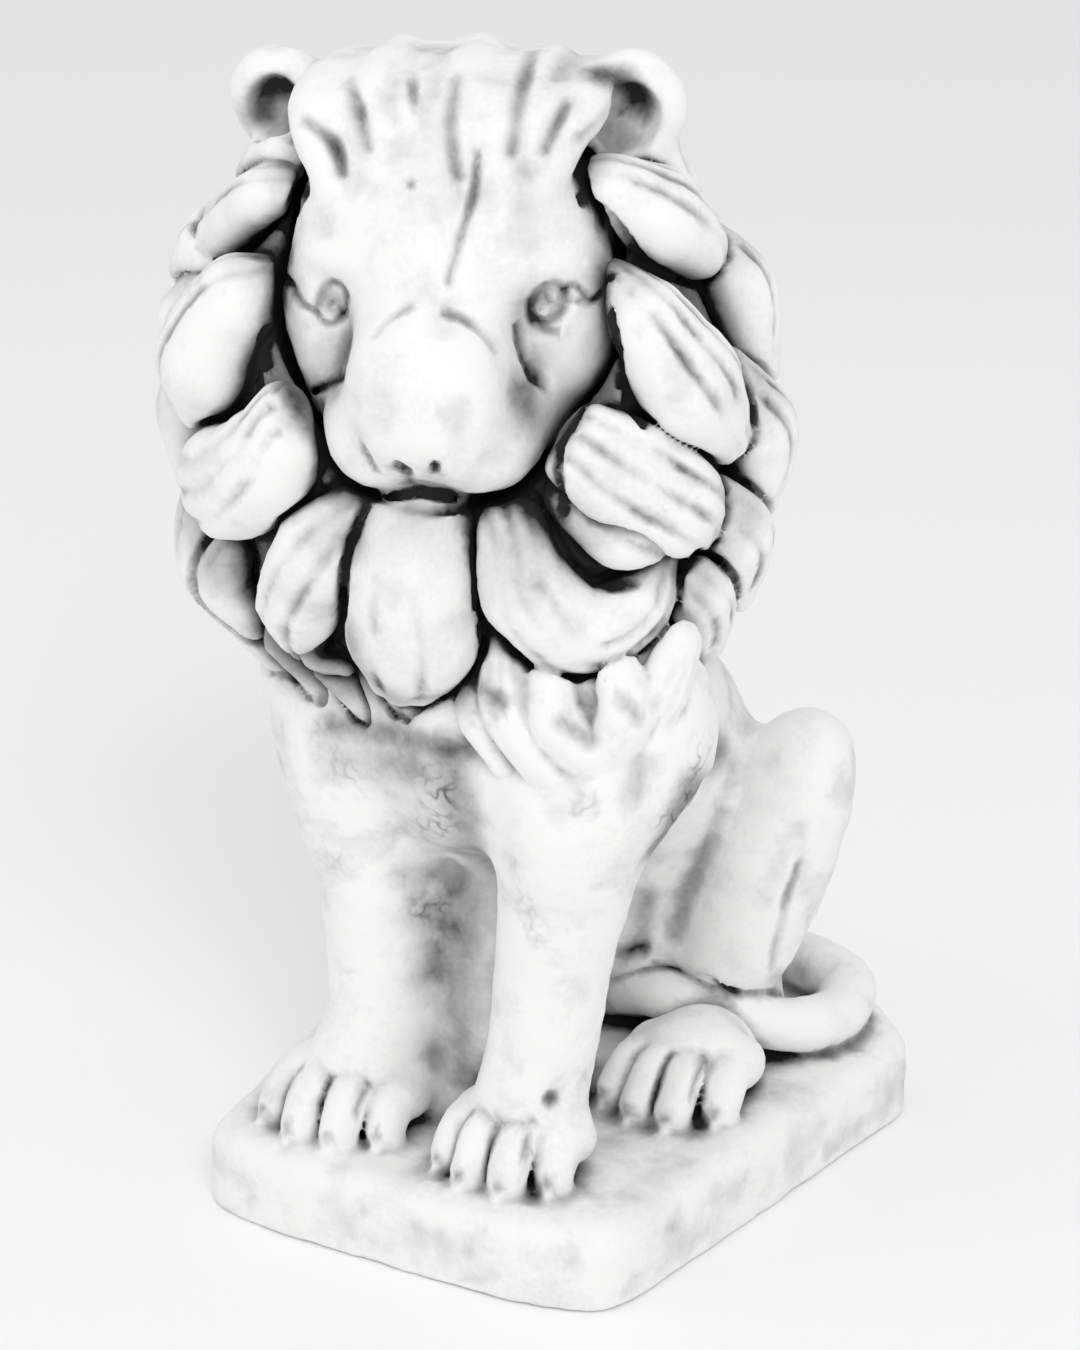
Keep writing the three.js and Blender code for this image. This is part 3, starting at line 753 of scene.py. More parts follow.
def model_paw(clay: Clay, toes: Sequence[Toe]) -> list[Mark]:
    """Adds a paw's toes, and the back of the paw that runs out over their roots.

    Args:
        clay: what the paw is modelled in.
        toes: its toes, from one side to the other.

    Returns:
        The antiquing and painted shade in the creases between the toes and round the claws.
    """
    middle = sum(toe.root[0] for toe in toes) / len(toes)
    spread = [toe.pushed_out(middle) for toe in toes]
    for toe in spread:
        toe.model(clay)
    over = [tuple(np.array(toe.root) * 0.85 + np.array(toe.tip) * 0.15 + [0, 3, 3]) for toe in spread]
    clay.add(Limb(over, [toe.knuckle_radius + 2 for toe in spread]), 7.0)

    def settled(*line: Array) -> Array:
        """The places where points come to rest on the paw when they drop from above and in front."""
        start = np.array([0, -14.0, 28.0])
        return np.array([clay.touch(point + start, -start, 0.0, 45.0) for point in line])

    marks = []
    for toe in spread:
        tip = np.array(toe.tip)
        ahead = unit((tip - toe.root) * [1, 1, 0])
        marks.append(Mark(settled(tip + ahead * 7.0 - [0, 0, 3]), *CLAW_MARK))
    for toe, other in zip(spread[:-1], spread[1:]):
        root = (np.array(toe.root) + np.array(other.root)) / 2
        tip = (np.array(toe.tip) + np.array(other.tip)) / 2
        line = settled(root * 0.6 + tip * 0.4, tip * 0.75 + root * 0.25, tip)
        marks.append(Mark(line, *CREASE_MARK))
    return marks


@dataclass(frozen=True)
class FrontLeg:
    """A front leg, from the shoulder down to its four toes.

    Attributes:
        spine: points from the shoulder to the wrist.
        radii: the half widths at those points.
        toes: the four toes.
    """

    spine: Sequence[Point]
    radii: Sequence[float]
    toes: Sequence[Toe]

    def model(self, clay: Clay) -> list[Mark]:
        """Adds the leg and its toes, and returns the paw's antiquing and painted shade."""
        clay.add(Limb(self.spine, self.radii), 12.0)
        return model_paw(clay, self.toes)


RIGHT_FRONT_LEG = FrontLeg(
    spine=[
        (-56, -64, 196),
        (-50, -74, 160),
        (-42, -79, 120),
        (-39, -81, 84),
        (-40, -84, 50),
        (-46, -90, 20),
    ],
    radii=[46, 38, 29, 25.5, 24, 25],
    toes=[
        Toe((-67, -92, 15), (-73, -113, 6)),
        Toe((-54, -98, 18), (-57, -122, 6)),
        Toe((-39, -98, 18), (-40, -120, 6)),
        Toe((-26, -92, 15), (-25, -109, 6)),
    ],
)
LEFT_FRONT_LEG = FrontLeg(
    spine=[
        (64, -72, 196),
        (59, -88, 165),
        (54, -89, 130),
        (48, -88, 92),
        (43, -89, 52),
        (38, -93, 20),
    ],
    radii=[46, 36, 28, 24.5, 23.5, 25],
    toes=[
        Toe((19, -92, 15), (14, -112, 6)),
        Toe((31, -98, 18), (28, -121, 6)),
        Toe((44, -98, 18), (44, -121, 6)),
        Toe((55, -92, 15), (58, -109, 6)),
    ],
)


@dataclass(frozen=True)
class HindLeg:
    """A hind leg folded for sitting, the knee high beside the belly.

    Attributes:
        side: which side of the lion it is on.
        thigh: points from the knee back to the rump.
        shank: points from the knee down to the ankle.
        foot: points from the heel forward.
        thigh_radii: the thigh's half widths.
        shank_radii: the shank's half widths.
        foot_radii: the foot's half widths.
        toes: the root and tip of each toe.
    """

    side: Side
    thigh: Sequence[Point] = ((92, 55, 138), (70, 68, 110), (46, 80, 74))
    shank: Sequence[Point] = (
        (98, 53, 149),
        (92, 50, 127),
        (82, 48, 98),
        (72, 46, 66),
        (64, 46, 44),
        (64, 52, 18),
    )
    foot: Sequence[Point] = ((62, 56, 14), (68, 26, 14), (71, -4, 15))
    thigh_radii: Sequence[float] = (24, 34, 40)
    shank_radii: Sequence[float] = (19, 26, 30, 28, 25, 23)
    foot_radii: Sequence[float] = (20, 22, 23)
    toes: Sequence[tuple[Point, Point]] = (
        ((54, 2, 15), (48, -27, 6)),
        ((65, -4, 17), (62, -35, 6)),
        ((76, -2, 17), (77, -34, 6)),
        ((87, 6, 15), (91, -20, 6)),
    )

    def mirrored(self, points: Sequence[Point]) -> list[Point]:
        """The points on this leg's own side."""
        return [(x * self.side.value, y, z) for x, y, z in points]

    def model(self, clay: Clay) -> list[Mark]:
        """Adds the thigh, the shank, the foot and its toes, and returns the paw's antiquing and painted
        shade.

        Args:
            clay: what it is modelled in.

        Returns:
            The antiquing and painted shade.
        """
        clay.add(Limb(self.mirrored(self.thigh), self.thigh_radii), 16.0)
        clay.add(Limb(self.mirrored(self.shank), self.shank_radii), 8.0)
        clay.add(Limb(self.mirrored(self.foot), self.foot_radii), 8.0)
        return model_paw(clay, [Toe(*self.mirrored(toe)) for toe in self.toes])


@dataclass(frozen=True)
class Tail:
    """The tail: off the rump, round the plinth's corner and over the left hind foot.

    Attributes:
        spine: points from the rump to the tip.
        radii: its half widths at those points.
        bed: points of the stone that fills the corner under its bend.
        bed_radius: the half width of that stone.
    """

    spine: Sequence[Point] = (
        (-6, 114, 44),
        (16, 126, 17),
        (62, 124, 12),
        (96, 106, 12),
        (104, 74, 12),
        (90, 44, 18),
        (66, 28, 28),
        (42, 25, 29),
        (22, 28, 24),
    )
    radii: Sequence[float] = (17, 15, 14, 13.5, 13, 12.5, 12, 11.5, 10)
    bed: Sequence[Point] = ((92, 98, 2), (92, 74, 0), (82, 60, 2))
    bed_radius: float = 13

    def model(self, clay: Clay) -> None:
        """Adds the bed, and the tail with a narrow trench along it."""
        clay.add(Limb(self.bed, [self.bed_radius] * len(self.bed)), 6.0)
        clay.add(Limb(self.spine, self.radii), 2.0, trench=2.4, depth=3.0)


@dataclass(frozen=True)
class Body:
    """The torso, the web of stone under the belly, the legs and the tail.

    Attributes:
        back: points from the shoulders down to the rump.
        back_radii: the torso's half widths at those points.
        tail: the tail.
    """

    back: Sequence[Point] = ((4, -50, 190), (2, 0, 168), (0, 50, 122), (0, 74, 68))
    back_radii: Sequence[float] = (70, 68, 68, 58)
    tail: Tail = Tail()

    def model(self, clay: Clay) -> list[Mark]:
        """Adds the masses from the inside out, and returns the paws' antiquing and painted shade.

        Args:
            clay: what it is modelled in.

        Returns:
            The antiquing and painted shade.
        """
        clay.add(Limb(self.back, self.back_radii), 12.0)
        clay.add(Ball((0, 74, 52), (70, 58, 60)), 16.0)
        clay.add(Ball((2, -38, 60), (34, 44, 112)), 18.0)
        clay.add(Ball((-15, -58, 4), (18, 26, 24)), 12.0)
        legs = [HindLeg(side) for side in Side] + [RIGHT_FRONT_LEG, LEFT_FRONT_LEG]
        marks = [mark for leg in legs for mark in leg.model(clay)]
        self.tail.model(clay)
        return marks


@dataclass(frozen=True)
class Lock:
    """A lock of hair that lies on the mane.

    Attributes:
        path: its turn and rise on the mane and its half width there, from root to tip.
        strands: how many strands it is grooved into.
        lift: how far its spine stands out of the mane's surface.
        groove: how deep the grooves between its strands are.
        fullness: how much wider it is carved than its path says.
        flatness: its thickness as a share of its width.
        root_mark: how far the painted shade and antiquing over its root go past its edge, and how dark
            they are.
        groove_mark: how far the painted shade and antiquing in its grooves reach, and how dark they are.
    """

    path: Sequence[tuple[float, float, float]]
    strands: int = 3
    lift: float = -8.0
    groove: float = 2.6
    fullness: float = 1.12
    flatness: float = 0.85
    root_mark: tuple[float, float] = (12.0, 0.55)
    groove_mark: tuple[float, float] = (3.2, 0.42)

    def limb(self, body: ManeBody) -> Limb:
        """The lock as a flattened limb that rises from a sunken root and dips a little at its tip.

        Args:
            body: the mane that it lies on.

        Returns:
            The limb.
        """
        lifts = [self.lift - 5] + [self.lift] * (len(self.path) - 2) + [self.lift - 2]
        widths = [width * self.fullness for _, _, width in self.path]
        return Limb(
            [body.place(turn, rise, lift) for (turn, rise, _), lift in zip(self.path, lifts)],
            widths[:-1] + [widths[-1] * 0.85],
            flatness=self.flatness,
            flat_from=body.centre,
            strands=self.strands,
            groove=self.groove,
        )

    def marks(self, body: ManeBody) -> list[Mark]:
        """The painted shade and antiquing over the lock's root, where it tucks under the next lock, and in
        the grooves between its strands.

        Args:
            body: the mane that it lies on.

        Returns:
            The marks, the root's first.
        """
        made = self.limb(body)
        places, radii = made.joints()
        beyond, tone = self.root_mark
        root = Mark(places[: made.steps // 2 + 1], radii[0] + beyond, tone)
        outward = places - np.array(body.centre)
        outward = outward / np.linalg.norm(outward, axis=1, keepdims=True)
        across = np.cross(np.gradient(places, axis=0), outward)
        across = across / np.linalg.norm(across, axis=1, keepdims=True)
        found = [root]
        for k in range(1, self.strands):
            share = 2 * k / self.strands - 1
            height = radii * made.flatness * math.sqrt(1 - share * share) - self.groove
            line = places + across * (share * radii)[:, None] + outward * height[:, None]
            found.append(Mark(line[2:-2], *self.groove_mark))
        return found


@dataclass(frozen=True)
class Mane:
    """The mane: its body, the locks over it and the curls on the chest.

    Attributes:
        body: the body of hair that the locks lie on.
        core_share: the share of the full body that shows between locks.
        trench: how wide the trench round a lock is.
        edge_lift: how far the locks along the mane's edges stand out.
        hollow: the middle of the hollow that the face is set in, from the head's middle.
        hollow_radii: the hollow's half sizes before the locks are laid.
        opening_radii: its half sizes when it is carved again after them.
        lit_size: the size on the body at which the shadow under the locks ends.
        shadow_band: how much smaller the size is where the shadow is full.
        hem_height: where the shadow starts above the chest, and over what height it grows.
        crown_height: where it ends under the crown, and over what height it fades.
    """

    body: ManeBody = ManeBody()
    core_share: float = 0.87
    trench: float = 2.6
    edge_lift: float = -5.0
    hollow: Point = (0, 100, 12)
    hollow_radii: Point = (88, 98, 84)
    opening_radii: Point = (76, 98, 74)
    lit_size: float = 0.97
    shadow_band: float = 0.08
    hem_height: tuple[float, float] = (200, 20)
    crown_height: tuple[float, float] = (420, 15)

    def edge_locks(self) -> list[Lock]:
        """The locks along the mane's two edges as seen from the front."""
        lift = self.edge_lift
        return [
            Lock([(-37, 52, 6), (-70, 53, 14), (-86, 43, 14)], 3, lift),
            Lock([(-41, 49, 5), (-60, 43, 12), (-84, 34, 16)], 3, lift),
            Lock([(-82, 25, 9), (-80, 17, 15), (-78, 8, 12)], 2, lift),
            Lock([(-56, -20, 9), (-68, -28, 13), (-67, -36, 10)], 2, lift),
            Lock([(57, 56, 7), (98, 57, 17), (106, 45, 13)], 3, lift),
            Lock([(100, 35, 12), (102, 25, 17), (100, 12, 14)], 3, lift),
            Lock([(78, 14, 11), (91, 3, 17), (94, -9, 15)], 3, lift),
            Lock([(66, -5, 11), (82, -14, 15), (91, -25, 16)], 3, lift),
            Lock([(55, -15, 9), (69, -23, 13), (86, -34, 16)], 3, lift),
        ]

    def front_locks(self) -> list[Lock]:
        """The locks seen from the front, in the order that they overlap."""
        return [
            Lock([(-42, 31, 8), (-52, 24, 19), (-59, 14, 23), (-62, 7, 18)], 3, groove=2.0),
            Lock([(-21, 17, 5), (-27, 9, 14), (-35, -1, 21), (-47, -6, 22), (-60, -6, 15)], 4, groove=3.0),
            Lock([(-13, -7, 11), (-22, -15, 18), (-32, -26, 17), (-40, -38, 9)], 3),
            Lock([(-29, -30, 5), (-36, -39, 5), (-27, -41, 5)], 0),
            Lock([(48, 34, 8), (52, 25, 17), (61, 14, 21), (73, 5, 14)], 4, groove=3.0),
            Lock([(51, 54, 6), (60, 50, 14), (74, 43, 19), (88, 37, 17)], 4),
            Lock([(21, 14, 5), (29, 8, 15), (41, 1, 21), (54, -5, 20), (62, -10, 13)], 4, groove=3.0),
            Lock([(31, -3, 10), (41, -9, 13), (56, -13, 11)], 2),
            Lock([(18, -9, 14), (22, -19, 18), (35, -27, 18), (48, -23, 15), (54, -16, 9)], 4, groove=3.2),
            Lock([(0, -7, 19), (-2, -17, 23), (-3, -28, 25), (-7, -38, 19)], 3, groove=1.8),
        ]

    def back_locks(self) -> list[Lock]:
        """The plainer locks behind: rows of drops that overlap like tiles, and curls along the hem."""
        rows = [(68, 128, 34, 5), (42, 126, 25, 7), (14, 122, 25, 7), (-12, 114, 24.5, 8)]
        found = []
        for rise, first, step, count in rows:
            for turn in (first + i * step for i in range(count)):
                sweep = -7 if turn > 180 else 7
                middle = (turn + sweep, rise - 14.4, 22)
                tip = (turn + sweep * 0.4, rise - 32, 15)
                found.append(Lock([(turn, rise, 13), middle, tip], 3))
        for turn in (-62 + i * 24.5 for i in range(14)):
            found.append(Lock([(turn, -40, 10), (turn + 4, -55, 7)], 2))
        return found

    def chest_curls(self) -> list[Limb]:
        """The curls that hang from the mane over the chest."""
        spines = [
            ([(104, -84, 244), (99, -90, 224), (90, -96, 203)], 12),
            ([(28, -112, 226), (30, -117, 208), (40, -118, 190)], 9),
            ([(38, -112, 238), (45, -119, 216), (58, -118, 196), (68, -113, 188)], 12),
            ([(84, -102, 236), (90, -105, 218), (84, -108, 202), (76, -111, 198)], 12),
            ([(60, -113, 234), (66, -117, 214), (76, -113, 200), (84, -108, 202)], 11),
        ]
        more = {"flatness": 0.85, "flat_from": (8.0, -40.0, 215.0), "strands": 4, "groove": 2.6}
        shares = {3: [0.8, 1, 0.5], 4: [0.8, 1, 0.8, 0.4]}
        return [Limb(spine, [w * part for part in shares[len(spine)]], **more) for spine, w in spines]

    def shadow(self, points: Array) -> Array:
        """How deep some points lie under the locks.

        A point's size is its distance from the body's middle measured in the body's own radii. The
        shadow is full at the size of the core and gone where the locks begin to stand out.

        Args:
            points: the points, one row each.

        Returns:
            Values from 0 to 1.
        """
        local = (points - np.array(self.body.centre)) @ self.body.axes().T
        depth = np.where(local[:, 1] > 0, self.body.front, self.body.back)
        radii = np.stack([np.full(len(points), self.body.half_width), depth], axis=1)
        flat = ((local[:, :2] / radii) ** 2).sum(axis=1)
        size = np.sqrt(flat + (local[:, 2] / self.body.half_height) ** 2)
        deep = np.clip((self.lit_size - size) / self.shadow_band, 0, 1)
        above_hem = np.clip((points[:, 2] - self.hem_height[0]) / self.hem_height[1], 0, 1)
        under_crown = np.clip((self.crown_height[0] - points[:, 2]) / self.crown_height[1], 0, 1)
        return deep * above_hem * under_crown

    def marks(self) -> list[Mark]:
        """The antiquing and painted shade of every lock."""
        locks = self.back_locks() + self.edge_locks() + self.front_locks()
        return [mark for lock in locks for mark in lock.marks(self.body)]

    def model(self, clay: Clay, head: HeadAxes) -> None:
        """Adds the body of hair, carves the hollow for the face, and lays the locks round it.

        Args:
            clay: what it is modelled in.
            head: where the head is and how it is turned.
        """
        self.body.model(clay, self.core_share, 14.0)
        clay.add(head.ball((0, -12, 26), (70, 62, 50)), 12.0)
        clay.add(Ball((12, -66, 226), (88, 52, 46)), 12.0)
        clay.carve(head.ball(self.hollow, self.hollow_radii), 3.0)
        for lock in self.back_locks():
            clay.add(lock.limb(self.body), 1.5, trench=self.trench)
        for curl in self.chest_curls():
            clay.add(curl, 3.0, trench=2.0, depth=2.0)
        for lock in self.edge_locks() + self.front_locks():
            clay.add(lock.limb(self.body), 1.2, trench=self.trench)
        clay.carve(head.ball(self.hollow, self.opening_radii), 6.0)


@dataclass(frozen=True)
class Head:
    """The face, the tufts over the crown and the ears.

    Attributes:
        axes: where the head is and how it is turned.
        tufts: the side positions of the crown's tufts.
        ears: the side positions and heights of the ears.
    """

    axes: HeadAxes = HeadAxes()
    tufts: Sequence[float] = (-52, -28, 6, 31, 50)
    ears: Sequence[tuple[float, float]] = ((-75, 59), (67, 62))

    def model_face(self, clay: Clay) -> None:
        """Adds the skull, brow, cheeks, muzzle, nose and chin.

        Args:
            clay: what it is modelled in.
        """
        ball, limb = self.axes.ball, self.axes.limb
        clay.add(ball((0, 6, 12), (64, 58, 60)), 4.0)
        clay.add(ball((0, 31, 26), (58, 34, 42)), 12.0)
        clay.add(limb([(0, 36, 22), (0, 47, 6), (0, 58, -10)], [33, 33, 32]), 10.0)
        for side in Side:
            s = side.value
            clay.add(ball((46 * s, 33, -8), (21, 26, 37)), 9.0)
            jowl = 29 if side is Side.LEFT else -37
            clay.add(ball((jowl, 28, -34), (25, 30, 36)), 8.0)
            clay.add(ball((30 * s, 49, 23), (22, 12, 9)), 8.0)
            clay.add(ball((22 * s, 62, -40), (23, 26, 25)), 12.0)
            clay.add(ball((18 * s, 78, -46), (20, 20, 15)), 12.0)
        clay.add(ball((2, 81, -17), (30, 27, 27)), 15.0)
        clay.add(ball((2, 92, -32), (21, 14, 13)), 14.0)
        clay.add(limb([(0, 34, -46), (0, 66, -56)], [30, 20]), 6.0)
        clay.add(ball((-2, 77, -62), (18, 19, 12)), 3.0)

    def model_crown(self, clay: Clay) -> None:
        """Adds the tufts that run from the hairline back over the crown, and parts them behind.

        Args:
            clay: what it is modelled in.
        """
        between = [(a + b) / 2 for a, b in zip(self.tufts[:-1], self.tufts[1:])]
        for side in between:
            clay.add(self.axes.limb(self.over_crown(side, -3.5), [7, 11, 13, 12]), 6.0)
        for side in self.tufts:
            clay.add(self.axes.limb(self.over_crown(side, 0.0), [7, 11, 13, 12]), 6.0)
        for side in between:
            parting = self.over_crown(side, 12.0)[1:]
            clay.carve(self.axes.limb(parting, [1.0, 2.8, 3.0]), 2.5)

    def over_crown(self, side: float, lift: float) -> list[Point]:
        """A line from the hairline back over the crown.

        Args:
            side: its side position over the brow.
            lift: how far above the tufts' own spines it runs.

        Returns:
            Four points of the head.
        """
        spread = 1.1 if side > 0 else 0.9
        drop = (side / 75) ** 2 * 15
        return [
            (side * 0.82, 42 + lift * 0.9, 58 - drop * 1.4 + lift * 0.5),
            (side, 22 + lift * 0.4, 76 - drop + lift),
            (side * spread, -14, 75 - drop + lift * 1.2),
            (side * spread, -48 - lift * 0.5, 54 - drop + lift),
        ]

    def model_ears(self, clay: Clay) -> None:
        """Adds the round ears and carves their hollows.

        Args:
            clay: what it is modelled in.
        """
        for side, up in self.ears:
            clay.add(self.axes.ball((side, -12, up), (22, 13, 23)), 3.0)
            clay.carve(self.axes.ball((side, 2, up), (13, 13, 14)), 2.0)


# Fine carving, placed by where the photograph's camera sees it


@dataclass(frozen=True)
class PhotoView:
    """The place and directions of the photograph's camera, on the drawing.

    Attributes:
        azimuth: its angle round the lion from the front towards the lion's left, in degrees.
        elevation: its angle above the horizon, in degrees.
        distance: how far it is from the point that it looks at.
        target: that point, on the drawing.
        focal: its focal length in pixels of the photograph.
        frame: the photograph's width and height in pixels.
        room: how far before and behind the target the clay is looked for.
    """

    azimuth: float = 29.5
    elevation: float = 20.5
    distance: float = 1465.0
    target: Point = (-8.0, 0.0, 182.0)
    focal: float = 3360.0
    frame: tuple[int, int] = (1080, 1350)
    room: float = 300.0

    def back(self) -> Array:
        """The direction from the target to the camera."""
        a, e = math.radians(self.azimuth), math.radians(self.elevation)
        return np.array([math.sin(a) * math.cos(e), -math.cos(a) * math.cos(e), math.sin(e)])

    def place(self) -> Array:
        """Where the camera stands."""
        return np.array(self.target) + self.back() * self.distance

    def way(self, across: float, down: float) -> Array:
        """The direction in which the camera sees a place of the photograph, in pixels.

        Args:
            across: the pixel across the photograph.
            down: the pixel down the photograph.

        Returns:
            A direction of length one.
        """
        right = unit(np.cross(-self.back(), [0, 0, 1]))
        up = np.cross(right, -self.back())
        level = (across - self.frame[0] / 2) / self.focal
        rise = (self.frame[1] / 2 - down) / self.focal
        return unit(-self.back() + right * level + up * rise)

    def touch(self, clay: Clay, across: float, down: float) -> Array:
        """The place on the clay that the camera sees there."""
        near, far = self.distance - self.room, self.distance + self.room
        return clay.touch(self.place(), self.way(across, down), near, far)

    def line(self, clay: Clay, pixels: Sequence[tuple[float, float]]) -> Array:
        """The places on the clay that it sees at some pixels, one row each."""
        return np.array([self.touch(clay, across, down) for across, down in pixels])


@dataclass(frozen=True)
class Smudge:
    """Painted shade and antiquing rubbed on without any carving.

    Attributes:
        line: where the camera sees it, in pixels of the photograph.
        reach: how far from the line it ends.
        tone: how dark it is along the line.
    """

    line: Sequence[tuple[float, float]]
    reach: float
    tone: float

    def mark(self, clay: Clay, view: PhotoView) -> Mark:
        """The mark that it leaves on the clay."""
        return Mark(view.line(clay, self.line), self.reach, self.tone)


@dataclass(frozen=True)
class Stroke:
    """A line cut into the stone, or raised from it.

    Attributes:
        line: where the camera sees it, in pixels of the photograph.
        width: its width.
        depth: how deep it is cut, or with a minus sign how far it stands out.
        tone: how dark the antiquing and painted shade in it are.
    """

    line: Sequence[tuple[float, float]]
    width: float
    depth: float
    tone: float = 0.5

    def work(self, clay: Clay, view: PhotoView) -> Mark:
        """Carves or adds a thin limb whose middle lies off the surface by its radius less its depth.

        Args:
            clay: what it is worked in.
            view: the camera that places it.

        Returns:
            The antiquing and painted shade that it holds.
        """
        radius = self.width / 2
        sunk = abs(self.depth) - radius
        outward = 1 if self.depth < 0 else -1
        points = [tuple(at + clay.slope(at) * sunk * outward) for at in view.line(clay, self.line)]
        radii = [radius * 0.7] + [radius] * (len(points) - 2) + [radius * 0.7]
        if len(points) == 1:
            mass: Ball | Limb = Ball(points[0], (radius, radius, radius))
        else:
            mass = Limb(points, radii, steps=6)
        if self.depth > 0:
            clay.carve(mass, 1.0)
        else:
            clay.add(mass, 1.0)
        reach = radius * 1.25 + 1.0
        return Mark(view.line(clay, self.line), reach, self.tone if self.depth > 0 else 0.0)


def ring(
    across: float, down: float, wide: float, tall: float, lean: float = 0.0
) -> list[tuple[float, float]]:
    """The pixels of an oval: its half width and half height times the cosine and sine of an angle.

    Args:
        across: the pixel of its middle, across the photograph.
        down: the same, down the photograph.
        wide: half of its width.
        tall: half of its height.
        lean: how far it is turned, in degrees.

    Returns:
        Thirteen pixels, the last the same as the first.
    """
    angles = np.linspace(0, 2 * np.pi, 13)
    turn = math.radians(lean)
    x, y = wide * np.cos(angles), tall * np.sin(angles)
    return [
        (across + a * math.cos(turn) - b * math.sin(turn), down + a * math.sin(turn) + b * math.cos(turn))
        for a, b in zip(x, y)
    ]


@dataclass(frozen=True)
class FineCarving:
    """The eyes, nostrils, mouth and creases of the face, and the creases of the body.

    Attributes:
        view: the camera that the strokes are placed by.
    """

    view: PhotoView = PhotoView()

    def face_strokes(self) -> list[Stroke]:
        """The strokes of the face, from the forehead down to the chin."""
        return [
            Stroke([(478, 153), (473, 197), (459, 243), (449, 282)], 4.0, 1.3, 0.28),
            Stroke([(411, 184)], 5.0, 1.2, 0.35),
            Stroke([(374, 336), (392, 318), (412, 306)], 4.5, 1.3, 0.3),
            Stroke([(446, 312), (470, 322), (495, 350)], 5.0, 1.6, 0.3),
            Stroke([(343, 312), (350, 345), (343, 374)], 3.4, 1.0, 0.42),
            Stroke([(343, 376), (324, 386), (310, 397)], 4.0, 1.4, 0.42),
            Stroke([(516, 326), (521, 355), (533, 378)], 4.0, 1.4, 0.28),
            Stroke([(533, 378), (547, 391)], 3.5, 1.0, 0.3),
            Stroke(ring(332, 303, 14, 21, 12), 3.4, 1.2, 0.5),
            Stroke(ring(332, 302, 7, 10), 2.2, 0.7, 0.42),
            Stroke([(332, 301)], 3.0, 1.2, 0.75),
            Stroke([(280, 272), (292, 286), (300, 303), (316, 311)], 3.0, 1.2, 0.42),
            Stroke(ring(549, 303, 22, 15, -50), 3.6, 1.4, 0.42),
            Stroke(ring(550, 302, 11, 8, -50), 2.2, 0.8, 0.36),
            Stroke([(550, 302)], 3.0, 1.2, 0.6),
            Stroke(
                [(562, 290), (573, 284), (580, 290), (589, 301), (600, 294), (613, 276)], 3.0, 1.2, 0.55
            ),
            Stroke([(576, 300), (583, 304)], 3.0, 1.0, 0.5),
            Stroke([(533, 322), (545, 331), (560, 333)], 4.5, 1.0, 0.36),
            Stroke([(362, 447), (369, 461), (377, 473)], 3.5, 1.2, 0.45),
            Stroke([(396, 465), (403, 470), (407, 476)], 4.6, 3.2, 0.9),
            Stroke([(435, 466), (435, 472)], 4.6, 3.2, 0.9),
            Stroke([(408, 478), (412, 484)], 2.4, 0.8, 0.4),
            Stroke([(378, 497), (398, 495), (418, 492), (438, 495), (452, 498)], 4.6, 3.6, 1.0),
            Stroke([(452, 499), (476, 499), (492, 494), (512, 488)], 3.5, 1.4, 0.5),
        ]

    def crown_strokes(self) -> list[Stroke]:
        """The soft grooves between the tufts over the forehead, and the line under the right ear."""
        return [
            Stroke([(350, 84), (358, 115), (368, 148)], 8.0, 2.4, 0.36),
            Stroke([(456, 80), (450, 125), (452, 150), (457, 175)], 8.0, 2.2, 0.34),
            Stroke([(533, 52), (518, 105), (512, 152)], 9.0, 2.6, 0.4),
            Stroke([(566, 104), (545, 150)], 7.5, 2.4, 0.38),
            Stroke([(412, 70), (414, 108)], 7.0, 1.2, 0.14),
            Stroke([(306, 122), (322, 132), (336, 148), (342, 174)], 7.0, 2.2, 0.36),
            Stroke([(606, 112), (592, 128), (578, 140)], 6.0, 1.2, 0.22),
        ]

    def pockets(self) -> list[Stroke]:
        """The deep gaps between the face and the hair, and between one lock and the next, which their
        marks paint nearly black with painted shadow.
        """
        return [
            Stroke([(308, 190), (299, 205), (288, 232)], 6.0, 5.0, 1.0),
            Stroke([(266, 330), (262, 360), (258, 390)], 6.0, 5.0, 1.0),
            Stroke([(317, 430), (321, 456), (319, 488)], 5.0, 4.0, 1.0),
            Stroke([(581, 198), (604, 216), (638, 254), (670, 278), (700, 288)], 6.0, 4.0, 1.0),
            Stroke([(611, 312), (615, 345), (626, 388), (644, 425)], 6.0, 4.0, 0.9),
            Stroke([(592, 402), (562, 442), (556, 470), (566, 512)], 4.0, 3.0, 0.9),
            Stroke([(369, 510), (352, 545), (346, 600), (336, 640)], 4.0, 4.0, 1.0),
            Stroke([(476, 522), (474, 580), (478, 668)], 4.0, 4.0, 1.0),
            Stroke([(590, 572), (612, 586), (634, 584)], 8.0, 2.6, 0.5),
        ]

    def body_strokes(self) -> list[Stroke]:
        """The creases of the haunch and the paws."""
        return [
            Stroke([(800, 862), (787, 900), (776, 940), (771, 968)], 5.0, 1.6, 0.28),
            Stroke([(551, 1100)], 10.0, 2.4, 0.36),
            Stroke([(655, 962), (700, 974), (738, 992)], 3.0, 1.0, 0.36),
        ]

